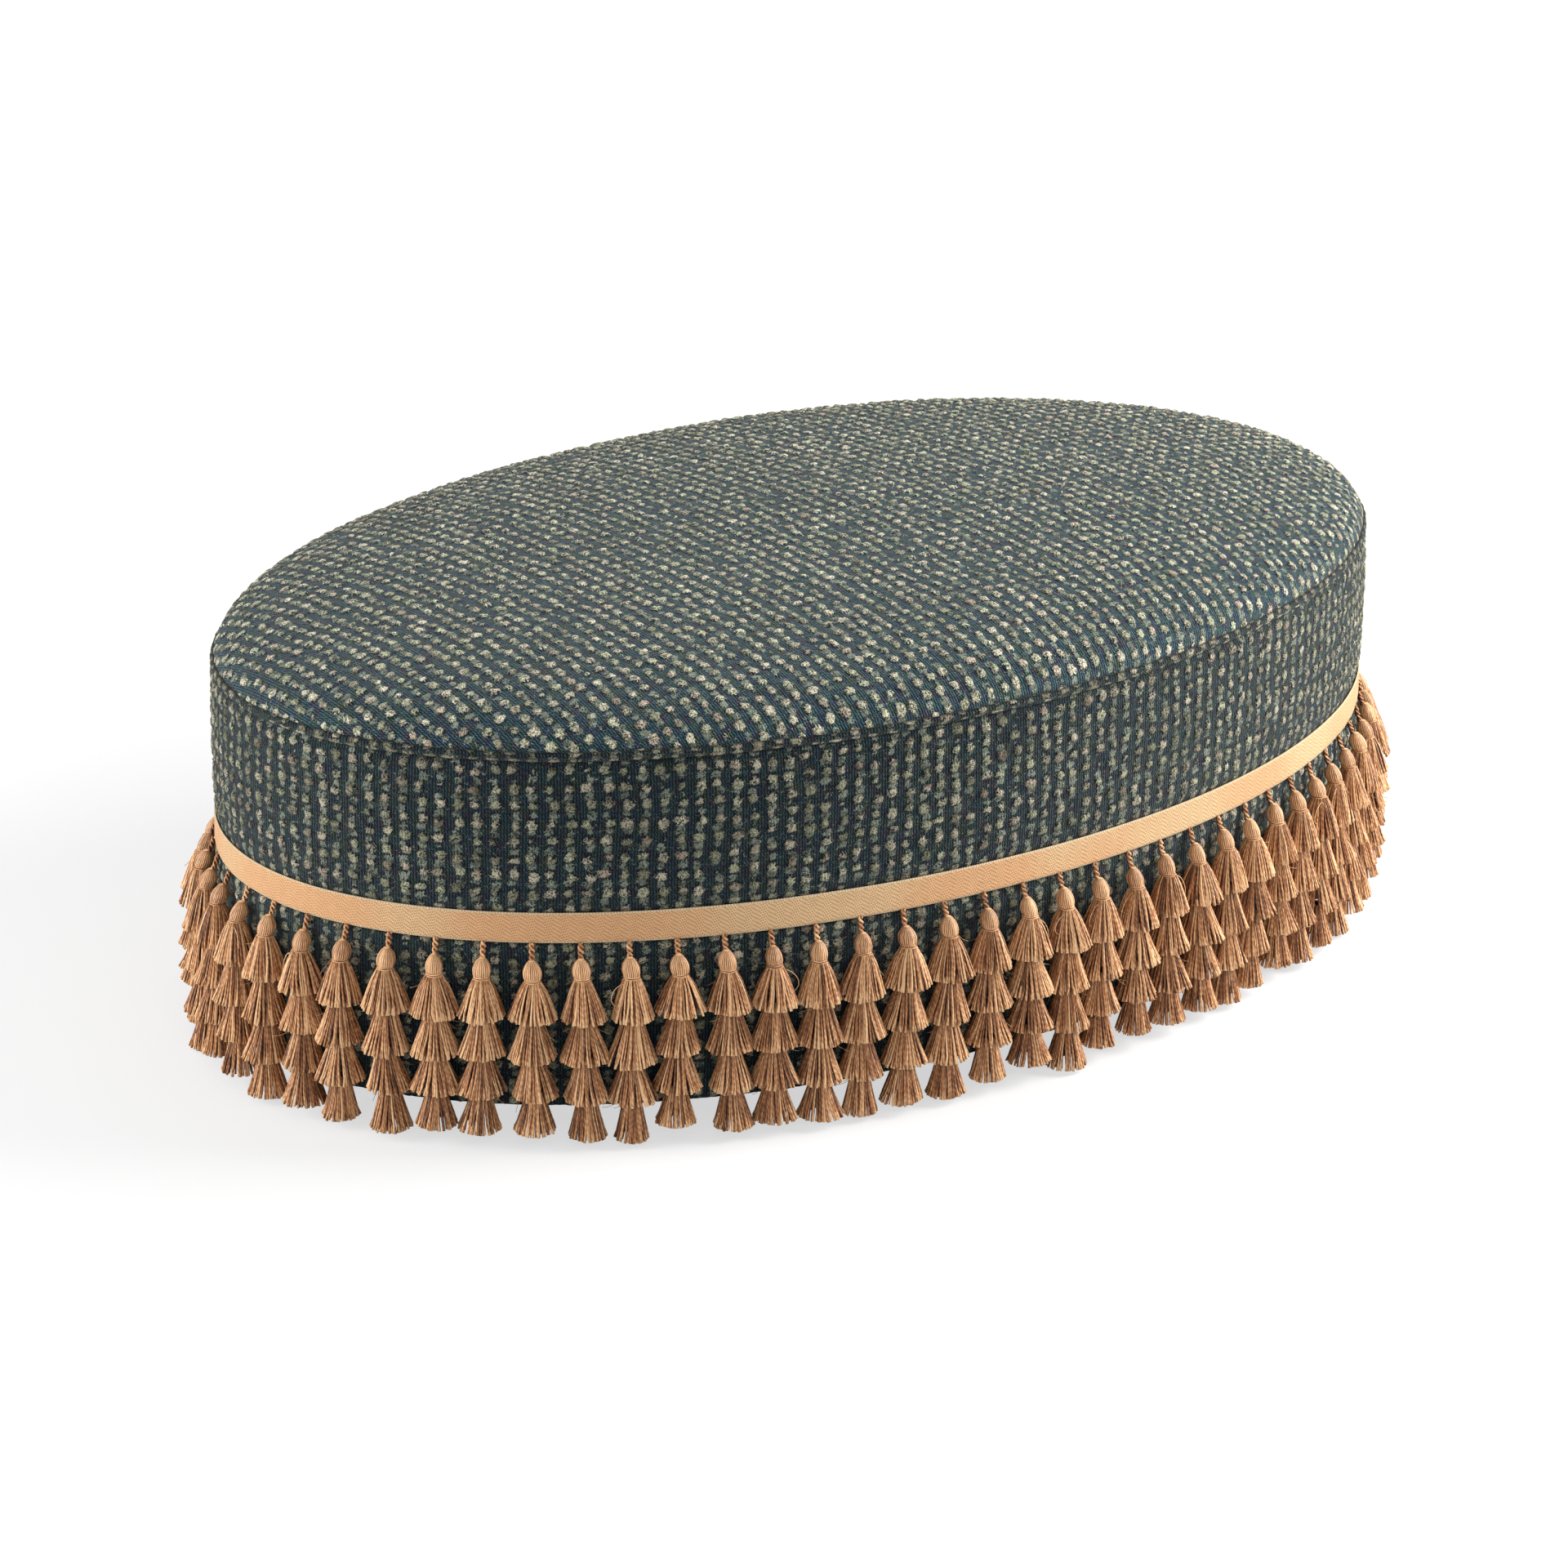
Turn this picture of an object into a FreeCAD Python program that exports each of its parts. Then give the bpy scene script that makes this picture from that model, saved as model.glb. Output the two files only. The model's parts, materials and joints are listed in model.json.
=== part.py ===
import FreeCAD, Part
import math
import os

# Oval upholstered footstool with a woven tape and a fringe of tiered tassels.
# Frame: the origin is on the floor under the middle of the stool, +X runs along the
# length, the front faces -Y and +Z is up. All sizes are millimetres.
# An inset is a distance inwards from the outer face of the fabric: every layer of the
# stool is an oval, and neighbouring layers share one inset as their common face.

Vector = FreeCAD.Vector

# Overall oval, measured over the tape
LENGTH = 1220.0
WIDTH = 762.0
TAPE_THICKNESS = 1.6

# Heights above the floor
FLOOR_GAP = 30.0
TAPE_LOW = 183.0
TAPE_HEIGHT = 27.5
DECK_HEIGHT = 286.0
SEAM_HEIGHT = 352.0

# Crown of the seat: a steep shoulder at the rim and a gentle dome over it
SHOULDER_RISE = 42.0
SHOULDER_POWER = 9.5
DOME_RISE = 33.0
SHOULDER_END = 0.88
SHOULDER_STEPS = 7
DOME_STEPS = 6

# Cover and padding
FABRIC = 2.4
WELT_HEIGHT = 7.0
WELT_PROUD = 0.8
HEM_WIDTH = 45.0
SIDE_FOAM = 12.0
WADDING = 8.0
CROWN_FOAM_OVER_SEAM = 12.8

# Timber frame
PLYWOOD = 18.0
DECK_RING_WIDTH = 90.0
BASE_RING_WIDTH = 106.0
WALL_BOARD = 3.0
BOARD_JOINT = 2.0
POST_COUNT = 8
POST_SIDE = 45.0
POST_SETBACK = 3.0
RAIL_WIDTH = 60.0
RAIL_SPACING = 460.0
RAIL_TO_POST = 10.0

# Webbing under the seat
WEBBING = 1.5
WEBBING_WIDTH = 60.0
CROSS_STRAP_COUNT = 9
CROSS_PITCH = 112.0
LONG_STRAP_COUNT = 5
LONG_PITCH = 108.0
STRAP_SETBACK = 12.0
DECK_CLOTH = 0.8
CLOTH_SETBACK = 5.0

# Dust cover under the frame
DUST_COVER = 0.6
DUST_COVER_INSET = 14.0

# Screws and staples
SCREW_RADIUS = 2.2
SCREW_HEAD_RADIUS = 4.2
SCREW_HEAD_DEPTH = 2.6
POST_SCREW_LENGTH = 50.0
RAIL_SCREW_LENGTH = 32.0
RAIL_SCREW_SPREAD = 30.0
STAPLE_WIRE = 0.7
STAPLE_CROWN = 11.0
STAPLE_LEG = 10.0
DUST_STAPLE_PITCH = 66.0
DUST_STAPLE_INSET = 28.0
WALL_STAPLE_PITCH = 150.0
STRAP_STAPLES = 3
STRAP_STAPLE_SETBACK = 14.0

# Feet
FOOT_RADIUS = 26.0
FOOT_TAPER = 4.0
FOOT_ROUNDING = 1.5
FOOT_COUNT = 4
STUD_RADIUS = 3.95
STUD_PLAY = 0.05
STUD_IN_FOOT = 18.0
STUD_PAST_RING = 4.0
T_NUT_FLANGE_RADIUS = 11.0
T_NUT_FLANGE = 1.5
T_NUT_BARREL_RADIUS = 5.2
T_NUT_BARREL = 9.0
DUST_COVER_PLAY = 1.0

# Tassels, hung in groups that each swing as one
TASSEL_COUNTS = (3, 3, 4, 4, 5)
FRINGE_GAP = 0.3
LOOP_LENGTH = 14.0
LOOP_RADIUS = 2.6
HEAD_RADIUS = 8.5
NECK_OVERLAP = 4.0
NECK_RADIUS = 7.0
HEAD_STANDOFF = 10.5
SKIRT_STANDOFF = 14.5
TIER_TOP_RADIUS = 9.0
TIER_HEM_RADII = (20.0, 20.5, 20.3, 17.5)
TIER_DROPS = (37.0, 38.0, 36.0, 34.0)
TIER_BELLY = 0.45
TIER_BELLY_REACH = 0.52

# Places that follow from the sizes above
HALF_LENGTH = LENGTH / 2 - TAPE_THICKNESS
HALF_WIDTH = WIDTH / 2 - TAPE_THICKNESS
FRAME_LOW = FLOOR_GAP + FABRIC
RING_TOP = FRAME_LOW + PLYWOOD
RAIL_TOP = RING_TOP + PLYWOOD
DECK_LOW = DECK_HEIGHT - PLYWOOD
STRAP_LEVEL = DECK_HEIGHT + WEBBING
CLOTH_LOW = STRAP_LEVEL + WEBBING
FOAM_LOW = CLOTH_LOW + DECK_CLOTH
FOAM_SPLIT = SEAM_HEIGHT + CROWN_FOAM_OVER_SEAM
DUST_COVER_LOW = FLOOR_GAP - DUST_COVER
BOARD_INSET = FABRIC + SIDE_FOAM
RING_INSET = BOARD_INSET + WALL_BOARD
BASE_RING_INNER = RING_INSET + BASE_RING_WIDTH
FOOT_INSET = BASE_RING_INNER - FOOT_RADIUS
POST_INSET = RING_INSET + POST_SETBACK + POST_SIDE / 2
RAIL_INSET = RING_INSET + POST_SETBACK + POST_SIDE + RAIL_TO_POST
CROWN_TOP = SEAM_HEIGHT + SHOULDER_RISE + DOME_RISE


# Ovals, plates and places on them

def oval_edge(inset, height=0.0):
    """The oval at an inset from the fabric's face, as one edge."""
    centre = Vector(0, 0, height)
    return Part.Ellipse(centre, HALF_LENGTH - inset, HALF_WIDTH - inset).toShape()


def oval_block(inset, low, high):
    """A solid oval disc between two heights."""
    face = Part.Face(Part.Wire([oval_edge(inset, low)]))
    return face.extrude(Vector(0, 0, high - low))


def oval_ring(outer_inset, inner_inset, low, high):
    """A flat oval ring between two insets and two heights."""
    return oval_block(outer_inset, low, high).cut(oval_block(inner_inset, low, high))


def oval_stations(inset, count, phase=0.0):
    """Evenly spaced places along an oval: each is a point and the outward direction."""
    edge = oval_edge(inset)
    stations = []
    for index in range(count):
        share = ((index + phase) / count) % 1.0
        place = edge.getParameterByLength(share * edge.Length)
        point = edge.valueAt(place)
        along = edge.tangentAt(place)
        stations.append((point, Vector(along.y, -along.x, 0).normalize()))
    return stations


def turned(shape, outward):
    """Turn a shape made facing +X so that it faces an outward direction."""
    copy = shape.copy()
    copy.rotate(Vector(0, 0, 0), Vector(0, 0, 1), math.degrees(math.atan2(outward.y, outward.x)))
    return copy


def centred_box(size_x, size_y, low, high, x=0.0, y=0.0):
    """A box with its middle at x and y, between two heights."""
    corner = Vector(x - size_x / 2, y - size_y / 2, low)
    return Part.makeBox(size_x, size_y, high - low, corner)


def slab(low, high):
    """A box wider than the stool, to keep what lies between two heights."""
    return centred_box(2 * LENGTH, 2 * WIDTH, low, high)


# Crowned seat layers

def crown_height(share, inset):
    """Height of the crown at a share of the way from the middle (0) to the rim (1)."""
    shoulder = SHOULDER_RISE * math.sqrt(max(0.0, 1 - share ** SHOULDER_POWER))
    return SEAM_HEIGHT - inset + shoulder + DOME_RISE * (1 - share ** 2)


def crown_solid(inset, low):
    """Everything under the crowned surface at an inset, down to a height."""
    half_length = HALF_LENGTH - inset
    shares = [SHOULDER_END * step / DOME_STEPS for step in range(DOME_STEPS)]
    steep = math.sqrt(1 - SHOULDER_END ** SHOULDER_POWER)
    for step in range(SHOULDER_STEPS):
        rise = steep * (1 - step / SHOULDER_STEPS)
        shares.append((1 - rise ** 2) ** (1 / SHOULDER_POWER))
    shares.append(1.0)
    points = [Vector(half_length * share, 0, crown_height(share, inset)) for share in shares]
    curve = Part.BSplineCurve()
    curve.interpolate(Points=points, InitialTangent=Vector(1, 0, 0), FinalTangent=Vector(0, 0, -1))
    foot = Vector(half_length, 0, low)
    middle = Vector(0, 0, low)
    outline = Part.Wire([
        curve.toShape(),
        Part.makeLine(points[-1], foot),
        Part.makeLine(foot, middle),
        Part.makeLine(middle, points[0]),
    ])
    round_solid = Part.Face(outline).revolve(Vector(0, 0, 0), Vector(0, 0, 1), 360)
    squeeze = FreeCAD.Matrix()
    squeeze.scale(1.0, (HALF_WIDTH - inset) / half_length, 1.0)
    return round_solid.transformGeometry(squeeze)


def cover_top():
    """Crowned panel of fabric over the seat."""
    shell = crown_solid(0, FOAM_LOW).cut(crown_solid(FABRIC, FOAM_LOW))
    return shell.common(slab(SEAM_HEIGHT + WELT_HEIGHT / 2, CROWN_TOP + FABRIC))


def top_wadding():
    """Soft wadding between the foam and the fabric."""
    return crown_solid(FABRIC, FOAM_LOW).cut(crown_solid(FABRIC + WADDING, FOAM_LOW))


def seat_foam():
    """Flat block of firm foam on the deck."""
    return crown_solid(FABRIC + WADDING, FOAM_LOW).common(slab(FOAM_LOW, FOAM_SPLIT))


def crown_foam():
    """Domed upper block of foam that gives the seat its crown."""
    return crown_solid(FABRIC + WADDING, FOAM_LOW).common(slab(FOAM_SPLIT, CROWN_TOP))


# Side cover, welt, tape and side padding

def cover_boxing():
    """Side band of fabric, turned in under the frame as a hem."""
    high = SEAM_HEIGHT - WELT_HEIGHT / 2
    band = oval_block(0, FLOOR_GAP, high)
    band = band.cut(oval_block(FABRIC, FRAME_LOW, high))
    return band.cut(oval_block(HEM_WIDTH, FLOOR_GAP, FRAME_LOW))


def seam_welt():
    """Narrow folded strip in the seam between the band and the top panel."""
    low = SEAM_HEIGHT - WELT_HEIGHT / 2
    return oval_ring(-WELT_PROUD, FABRIC, low, low + WELT_HEIGHT)


def header_tape():
    """Woven tape that carries the tassels."""
    return oval_ring(-TAPE_THICKNESS, 0, TAPE_LOW, TAPE_LOW + TAPE_HEIGHT)


def side_foam():
    """Thin foam sheet around the wall board."""
    return oval_ring(FABRIC, BOARD_INSET, FRAME_LOW, FOAM_LOW)


# Timber frame

def wall_board(side):
    """One half of the bent board wall: side is -1 for the left half and 1 for the right."""
    ring = oval_ring(BOARD_INSET, RING_INSET, FRAME_LOW, DECK_HEIGHT)
    half = centred_box(LENGTH, 2 * WIDTH, 0, SEAM_HEIGHT, side * (LENGTH + BOARD_JOINT) / 2)
    return ring.common(half)


def post_stations():
    """Places of the posts, midway between the feet."""
    return oval_stations(POST_INSET, POST_COUNT, 0.5)


def frame_posts():
    """Upright posts between the two plywood rings."""
    post = centred_box(POST_SIDE, POST_SIDE, RING_TOP, DECK_LOW)
    return Part.Compound([turned(post, out).translated(point) for point, out in post_stations()])


def cross_rails():
    """Two boards laid across the bottom ring from front to back."""
    inside = oval_block(RAIL_INSET, RING_TOP, RAIL_TOP)
    rails = []
    for side in (-1, 1):
        board = centred_box(RAIL_WIDTH, WIDTH, RING_TOP, RAIL_TOP, side * RAIL_SPACING / 2)
        rails.append(board.common(inside).Solids[0])
    return Part.Compound(rails)


def rail_reach(x, inset):
    """Half width of the oval at an inset, at a distance x from the middle."""
    return (HALF_WIDTH - inset) * math.sqrt(1 - (x / (HALF_LENGTH - inset)) ** 2)


def foot_stations():
    """Places of the feet, flush with the inner edge of the bottom ring."""
    return oval_stations(FOOT_INSET, FOOT_COUNT, 0.5)


def bottom_ring():
    """Plywood ring at the base, bored for the feet's threaded inserts."""
    ring = oval_ring(RING_INSET, BASE_RING_INNER, FRAME_LOW, RING_TOP)
    for point, out in foot_stations():
        bore = Part.makeCylinder(T_NUT_BARREL_RADIUS + STUD_PLAY, PLYWOOD, Vector(point.x, point.y, FRAME_LOW))
        ring = ring.cut(bore)
    return ring


def deck_ring():
    """Plywood ring that carries the webbing."""
    return oval_ring(RING_INSET, RING_INSET + DECK_RING_WIDTH, DECK_LOW, DECK_HEIGHT)


# Screws and staples

def screw(length):
    """Countersunk screw with its head up, its flat at the origin."""
    head = Part.makeCone(SCREW_RADIUS, SCREW_HEAD_RADIUS, SCREW_HEAD_DEPTH, Vector(0, 0, -SCREW_HEAD_DEPTH))
    shank = Part.makeCylinder(SCREW_RADIUS, length - SCREW_HEAD_DEPTH, Vector(0, 0, -length))
    return head.fuse(shank).removeSplitter()


def post_screws():
    """One screw down through the deck ring and one up through the bottom ring at each post."""
    down = screw(POST_SCREW_LENGTH)
    up = down.copy()
    up.rotate(Vector(0, 0, 0), Vector(1, 0, 0), 180)
    screws = []
    for point, out in post_stations():
        screws.append(down.translated(Vector(point.x, point.y, DECK_HEIGHT)))
        screws.append(up.translated(Vector(point.x, point.y, FRAME_LOW)))
    return Part.Compound(screws)


def rail_screws():
    """Two screws through each end of each rail into the bottom ring."""
    one = screw(RAIL_SCREW_LENGTH)
    screws = []
    for side in (-1, 1):
        for end in (-1, 1):
            for shift in (-1, 1):
                x = side * RAIL_SPACING / 2 + shift * RAIL_SCREW_SPREAD / 2
                y = end * (rail_reach(x, RAIL_INSET) + rail_reach(x, BASE_RING_INNER)) / 2
                screws.append(one.translated(Vector(x, y, RAIL_TOP)))
    return Part.Compound(screws)


def staple():
    """Wire staple with its crown along Y, its outer face at z = 0 and its legs down."""
    crown = centred_box(STAPLE_WIRE, STAPLE_CROWN, -STAPLE_WIRE, 0)
    legs = []
    for end in (-1, 1):
        y = end * (STAPLE_CROWN - STAPLE_WIRE) / 2
        legs.append(centred_box(STAPLE_WIRE, STAPLE_WIRE, -STAPLE_LEG, -STAPLE_WIRE, 0, y))
    return crown.fuse(legs).removeSplitter()


def wall_staples():
    """Staples through the wall board into the edges of both rings."""
    flat = staple()
    flat.rotate(Vector(0, 0, 0), Vector(0, 1, 0), 90)
    count = 2 * round(oval_edge(BOARD_INSET).Length / WALL_STAPLE_PITCH / 2)
    staples = []
    for point, out in oval_stations(BOARD_INSET, count, 0.5):
        for level in (FRAME_LOW + PLYWOOD / 2, DECK_LOW + PLYWOOD / 2):
            staples.append(turned(flat, out).translated(Vector(point.x, point.y, level)))
    return Part.Compound(staples)


def dust_cover_staples():
    """Staples through the dust cover and the hem into the bottom ring."""
    upward = staple()
    upward.rotate(Vector(0, 0, 0), Vector(1, 0, 0), 180)
    low = DUST_COVER_LOW - STAPLE_WIRE
    count = 4 * round(oval_edge(DUST_STAPLE_INSET).Length / DUST_STAPLE_PITCH / 4)
    staples = []
    for point, out in oval_stations(DUST_STAPLE_INSET, count, 0.5):
        staples.append(turned(upward, out).translated(Vector(point.x, point.y, low)))
    return Part.Compound(staples)


# Webbing and deck cloth

def strap_places(count, pitch):
    """Middles of a row of straps, centred on the stool."""
    return [(index - (count - 1) / 2) * pitch for index in range(count)]


def webbing_cross():
    """Webbing straps from front to back, fixed on the deck ring."""
    inside = oval_block(RING_INSET + STRAP_SETBACK, DECK_HEIGHT, STRAP_LEVEL)
    straps = []
    for x in strap_places(CROSS_STRAP_COUNT, CROSS_PITCH):
        strap = centred_box(WEBBING_WIDTH, WIDTH, DECK_HEIGHT, STRAP_LEVEL, x)
        straps.append(strap.common(inside).Solids[0])
    return Part.Compound(straps)


def webbing_long():
    """Webbing straps along the stool, over the cross straps."""
    inside = oval_block(RING_INSET + STRAP_SETBACK, STRAP_LEVEL, CLOTH_LOW)
    straps = []
    for y in strap_places(LONG_STRAP_COUNT, LONG_PITCH):
        strap = centred_box(LENGTH, WEBBING_WIDTH, STRAP_LEVEL, CLOTH_LOW, 0, y)
        straps.append(strap.common(inside).Solids[0])
    return Part.Compound(straps)


def webbing_staples():
    """Staples at both ends of every strap, with their crowns pulled into the webbing."""
    across = staple()
    along = across.copy()
    across.rotate(Vector(0, 0, 0), Vector(0, 0, 1), 90)
    inset = RING_INSET + STRAP_SETBACK + STRAP_STAPLE_SETBACK
    step = WEBBING_WIDTH / STRAP_STAPLES
    staples = []
    for end in (-1, 1):
        for shift in strap_places(STRAP_STAPLES, step):
            for x in strap_places(CROSS_STRAP_COUNT, CROSS_PITCH):
                y = end * (HALF_WIDTH - inset) * math.sqrt(1 - ((x + shift) / (HALF_LENGTH - inset)) ** 2)
                staples.append(across.translated(Vector(x + shift, y, STRAP_LEVEL)))
            for y in strap_places(LONG_STRAP_COUNT, LONG_PITCH):
                x = end * (HALF_LENGTH - inset) * math.sqrt(1 - ((y + shift) / (HALF_WIDTH - inset)) ** 2)
                staples.append(along.translated(Vector(x, y + shift, CLOTH_LOW)))
    return Part.Compound(staples)


def deck_cloth():
    """Coarse cloth over the webbing."""
    return oval_block(RING_INSET + CLOTH_SETBACK, CLOTH_LOW, FOAM_LOW)


# Dust cover and feet

def dust_cover():
    """Thin cloth under the frame, cut out round the feet."""
    sheet = oval_block(DUST_COVER_INSET, DUST_COVER_LOW, FLOOR_GAP)
    for point, out in foot_stations():
        hole = Part.makeCylinder(FOOT_RADIUS + DUST_COVER_PLAY, DUST_COVER,
                                 Vector(point.x, point.y, DUST_COVER_LOW))
        sheet = sheet.cut(hole)
    return sheet


def feet():
    """Low round feet under the bottom ring, narrower at the floor, bored for their studs."""
    body = Part.makeCone(FOOT_RADIUS - FOOT_TAPER, FOOT_RADIUS, FRAME_LOW)
    rims = [edge for edge in body.Edges if isinstance(edge.Curve, Part.Circle)]
    body = body.makeFillet(FOOT_ROUNDING, rims)
    bore_low = FRAME_LOW - STUD_IN_FOOT
    body = body.cut(Part.makeCylinder(STUD_RADIUS + STUD_PLAY, STUD_IN_FOOT, Vector(0, 0, bore_low)))
    return Part.Compound([body.translated(point) for point, out in foot_stations()])


def foot_studs():
    """Threaded studs from the feet up through the bottom ring."""
    low = FRAME_LOW - STUD_IN_FOOT
    stud = Part.makeCylinder(STUD_RADIUS, RING_TOP + STUD_PAST_RING - low, Vector(0, 0, low))
    return Part.Compound([stud.translated(point) for point, out in foot_stations()])


def t_nuts():
    """Flanged threaded inserts on the upper face of the bottom ring."""
    nut = Part.makeCylinder(T_NUT_FLANGE_RADIUS, T_NUT_FLANGE, Vector(0, 0, RING_TOP))
    nut = nut.fuse(Part.makeCylinder(T_NUT_BARREL_RADIUS, T_NUT_BARREL, Vector(0, 0, RING_TOP - T_NUT_BARREL)))
    bore = Part.makeCylinder(STUD_RADIUS + STUD_PLAY, T_NUT_BARREL + T_NUT_FLANGE,
                             Vector(0, 0, RING_TOP - T_NUT_BARREL))
    nut = nut.cut(bore)
    return Part.Compound([nut.translated(point) for point, out in foot_stations()])


# Tassels

def skirt_outline():
    """Half outline of the four tiers, from the neck down, as radius and height."""
    level = TAPE_LOW - FRINGE_GAP - LOOP_LENGTH - 2 * HEAD_RADIUS + NECK_OVERLAP
    outline = [Vector(0, 0, level)]
    top_radius = NECK_RADIUS
    for hem_radius, drop in zip(TIER_HEM_RADII, TIER_DROPS):
        belly = top_radius + TIER_BELLY_REACH * (hem_radius - top_radius)
        outline.append(Vector(top_radius, 0, level))
        outline.append(Vector(belly, 0, level - TIER_BELLY * drop))
        level -= drop
        outline.append(Vector(hem_radius, 0, level))
        top_radius = TIER_TOP_RADIUS
    outline.append(Vector(0, 0, level))
    outline.append(outline[0])
    return outline


def tassel():
    """One tassel that hangs against a flat wall at x = 0 and faces +X."""
    top = TAPE_LOW - FRINGE_GAP
    head_middle = Vector(HEAD_STANDOFF, 0, top - LOOP_LENGTH - HEAD_RADIUS)
    loop_top = Vector(LOOP_RADIUS + FRINGE_GAP, 0, top)
    direction = head_middle - loop_top
    loop = Part.makeCylinder(LOOP_RADIUS, direction.Length, loop_top, direction)
    head = Part.makeSphere(HEAD_RADIUS, head_middle)
    skirts = Part.Face(Part.makePolygon(skirt_outline())).revolve(Vector(0, 0, 0), Vector(0, 0, 1), 360)
    skirts.translate(Vector(SKIRT_STANDOFF, 0, 0))
    whole = skirts.fuse([head, loop])
    reach = SKIRT_STANDOFF + max(TIER_HEM_RADII)
    room = Part.makeBox(reach, 2 * reach, top, Vector(FRINGE_GAP, -reach, 0))
    return whole.common(room).Solids[0]


def tassel_groups():
    """Tassels around the stool, gathered into the groups that swing together."""
    sizes = (TASSEL_COUNTS + TASSEL_COUNTS[::-1]) * 2
    stations = oval_stations(0, sum(sizes), 0.5)
    one = tassel()
    groups = []
    for size in sizes:
        members, stations = stations[:size], stations[size:]
        groups.append(Part.Compound([turned(one, out).translated(point) for point, out in members]))
    return groups


# Nodes and export

nodes = {
    "bottom_ring": bottom_ring(),
    "deck_ring": deck_ring(),
    "frame_posts": frame_posts(),
    "cross_rails": cross_rails(),
    "wall_board_left": wall_board(-1),
    "wall_board_right": wall_board(1),
    "post_screws": post_screws(),
    "rail_screws": rail_screws(),
    "wall_staples": wall_staples(),
    "webbing_cross": webbing_cross(),
    "webbing_long": webbing_long(),
    "webbing_staples": webbing_staples(),
    "deck_cloth": deck_cloth(),
    "seat_foam": seat_foam(),
    "crown_foam": crown_foam(),
    "top_wadding": top_wadding(),
    "side_foam": side_foam(),
    "cover_top": cover_top(),
    "seam_welt": seam_welt(),
    "cover_boxing": cover_boxing(),
    "header_tape": header_tape(),
    "dust_cover": dust_cover(),
    "dust_cover_staples": dust_cover_staples(),
    "feet": feet(),
    "foot_studs": foot_studs(),
    "t_nuts": t_nuts(),
}
for number, group in enumerate(tassel_groups(), 1):
    nodes[f"tassels_{number:02d}"] = group

os.makedirs("parts", exist_ok=True)
for name, shape in nodes.items():
    shape.exportStep(f"parts/{name}.step")
    print(name, len(shape.Solids), "solids", round(shape.Volume / 1000, 1), "cm3", shape.isValid())
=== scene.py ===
"""Dress the oval upholstered footstool: tweed cover, woven tape, tasselled fringe and frame.

Shapes are worked out in millimetres in the stool's own frame (floor at z = 0, +X along the
length, front at -Y) and put into metres when a mesh is made.
"""
from __future__ import annotations

import logging
import math
from dataclasses import dataclass, field
from enum import Enum, IntEnum
from typing import Any, Sequence, Union

import bmesh
import bpy
import numpy as np
from mathutils import Matrix, Vector
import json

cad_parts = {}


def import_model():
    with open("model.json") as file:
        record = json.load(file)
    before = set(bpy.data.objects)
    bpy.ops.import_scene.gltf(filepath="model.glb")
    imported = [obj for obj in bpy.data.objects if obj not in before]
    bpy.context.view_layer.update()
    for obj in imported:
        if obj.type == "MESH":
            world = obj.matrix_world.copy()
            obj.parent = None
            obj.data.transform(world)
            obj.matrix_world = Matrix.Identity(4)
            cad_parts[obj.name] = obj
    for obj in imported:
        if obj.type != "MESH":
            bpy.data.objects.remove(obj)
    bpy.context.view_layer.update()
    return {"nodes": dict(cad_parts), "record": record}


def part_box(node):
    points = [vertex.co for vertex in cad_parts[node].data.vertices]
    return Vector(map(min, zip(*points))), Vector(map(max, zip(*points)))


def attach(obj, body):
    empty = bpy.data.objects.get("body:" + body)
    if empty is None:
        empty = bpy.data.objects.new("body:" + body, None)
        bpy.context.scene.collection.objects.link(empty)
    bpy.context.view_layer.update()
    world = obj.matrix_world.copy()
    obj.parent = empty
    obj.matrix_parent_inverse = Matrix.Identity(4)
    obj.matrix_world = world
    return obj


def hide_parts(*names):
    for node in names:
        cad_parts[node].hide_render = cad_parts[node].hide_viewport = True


log = logging.getLogger("footstool")

MM = 0.001
TURN = 2 * math.pi
TINY = 1e-9
WHITE = (1.0, 1.0, 1.0)
# The last two marks are painted light: painted shade in the creases, and a painted lift that makes the top
# lighter and the side darker.
WEAVE_MARKS = ("nub", "tuft", "tone", "hue", "crease", "nap")
MIX_COLUMN, MIX_ROW, MIX_SEED, MIX_AGAIN = 374761393, 668265263, 974634777, 1274126177
LOW_32_BITS, LOW_16_BITS = 0xFFFFFFFF, 0xFFFF
Colour = tuple[float, float, float]
Arrays = tuple[np.ndarray, ...]


class Seed(IntEnum):
    """Which scatter each unevenness of the stool is drawn from."""

    DRIFT_ACROSS = 11
    DRIFT_ALONG = 12
    LUMPS = 13
    ROUGHNESS = 14
    NUBS = 21
    TUFTS = 31
    TONE = 41
    HUE = 42
    TOP_SWELL = 51
    SIDE_SWELL = 52
    SEAM_WANDER = 61
    TAPE_EDGE = 71
    TAPE_RIPPLE = 72
    FIRST_TASSEL = 4000


# Numbers that repeat

def scatter(column: np.ndarray, row: np.ndarray, seed: int) -> np.ndarray:
    """Give each pair of whole numbers its own repeatable share from 0 to 1.

    Args:
        column: First whole number of each pair.
        row: Second whole number of each pair.
        seed: Which of many independent scatters to use.

    Returns:
        Shares from 0 to 1, mixed from the pair's bits by multiply and shift.
    """
    mixed = (column.astype(np.int64) * MIX_COLUMN + row.astype(np.int64) * MIX_ROW
             + seed * MIX_SEED) & LOW_32_BITS
    mixed = ((mixed ^ (mixed >> 13)) * MIX_AGAIN) & LOW_32_BITS
    return ((mixed ^ (mixed >> 16)) & LOW_16_BITS) / LOW_16_BITS


def ease(share: np.ndarray) -> np.ndarray:
    """Start and end a share from 0 to 1 gently: 3t^2 - 2t^3."""
    return share * share * (3 - 2 * share)


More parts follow.
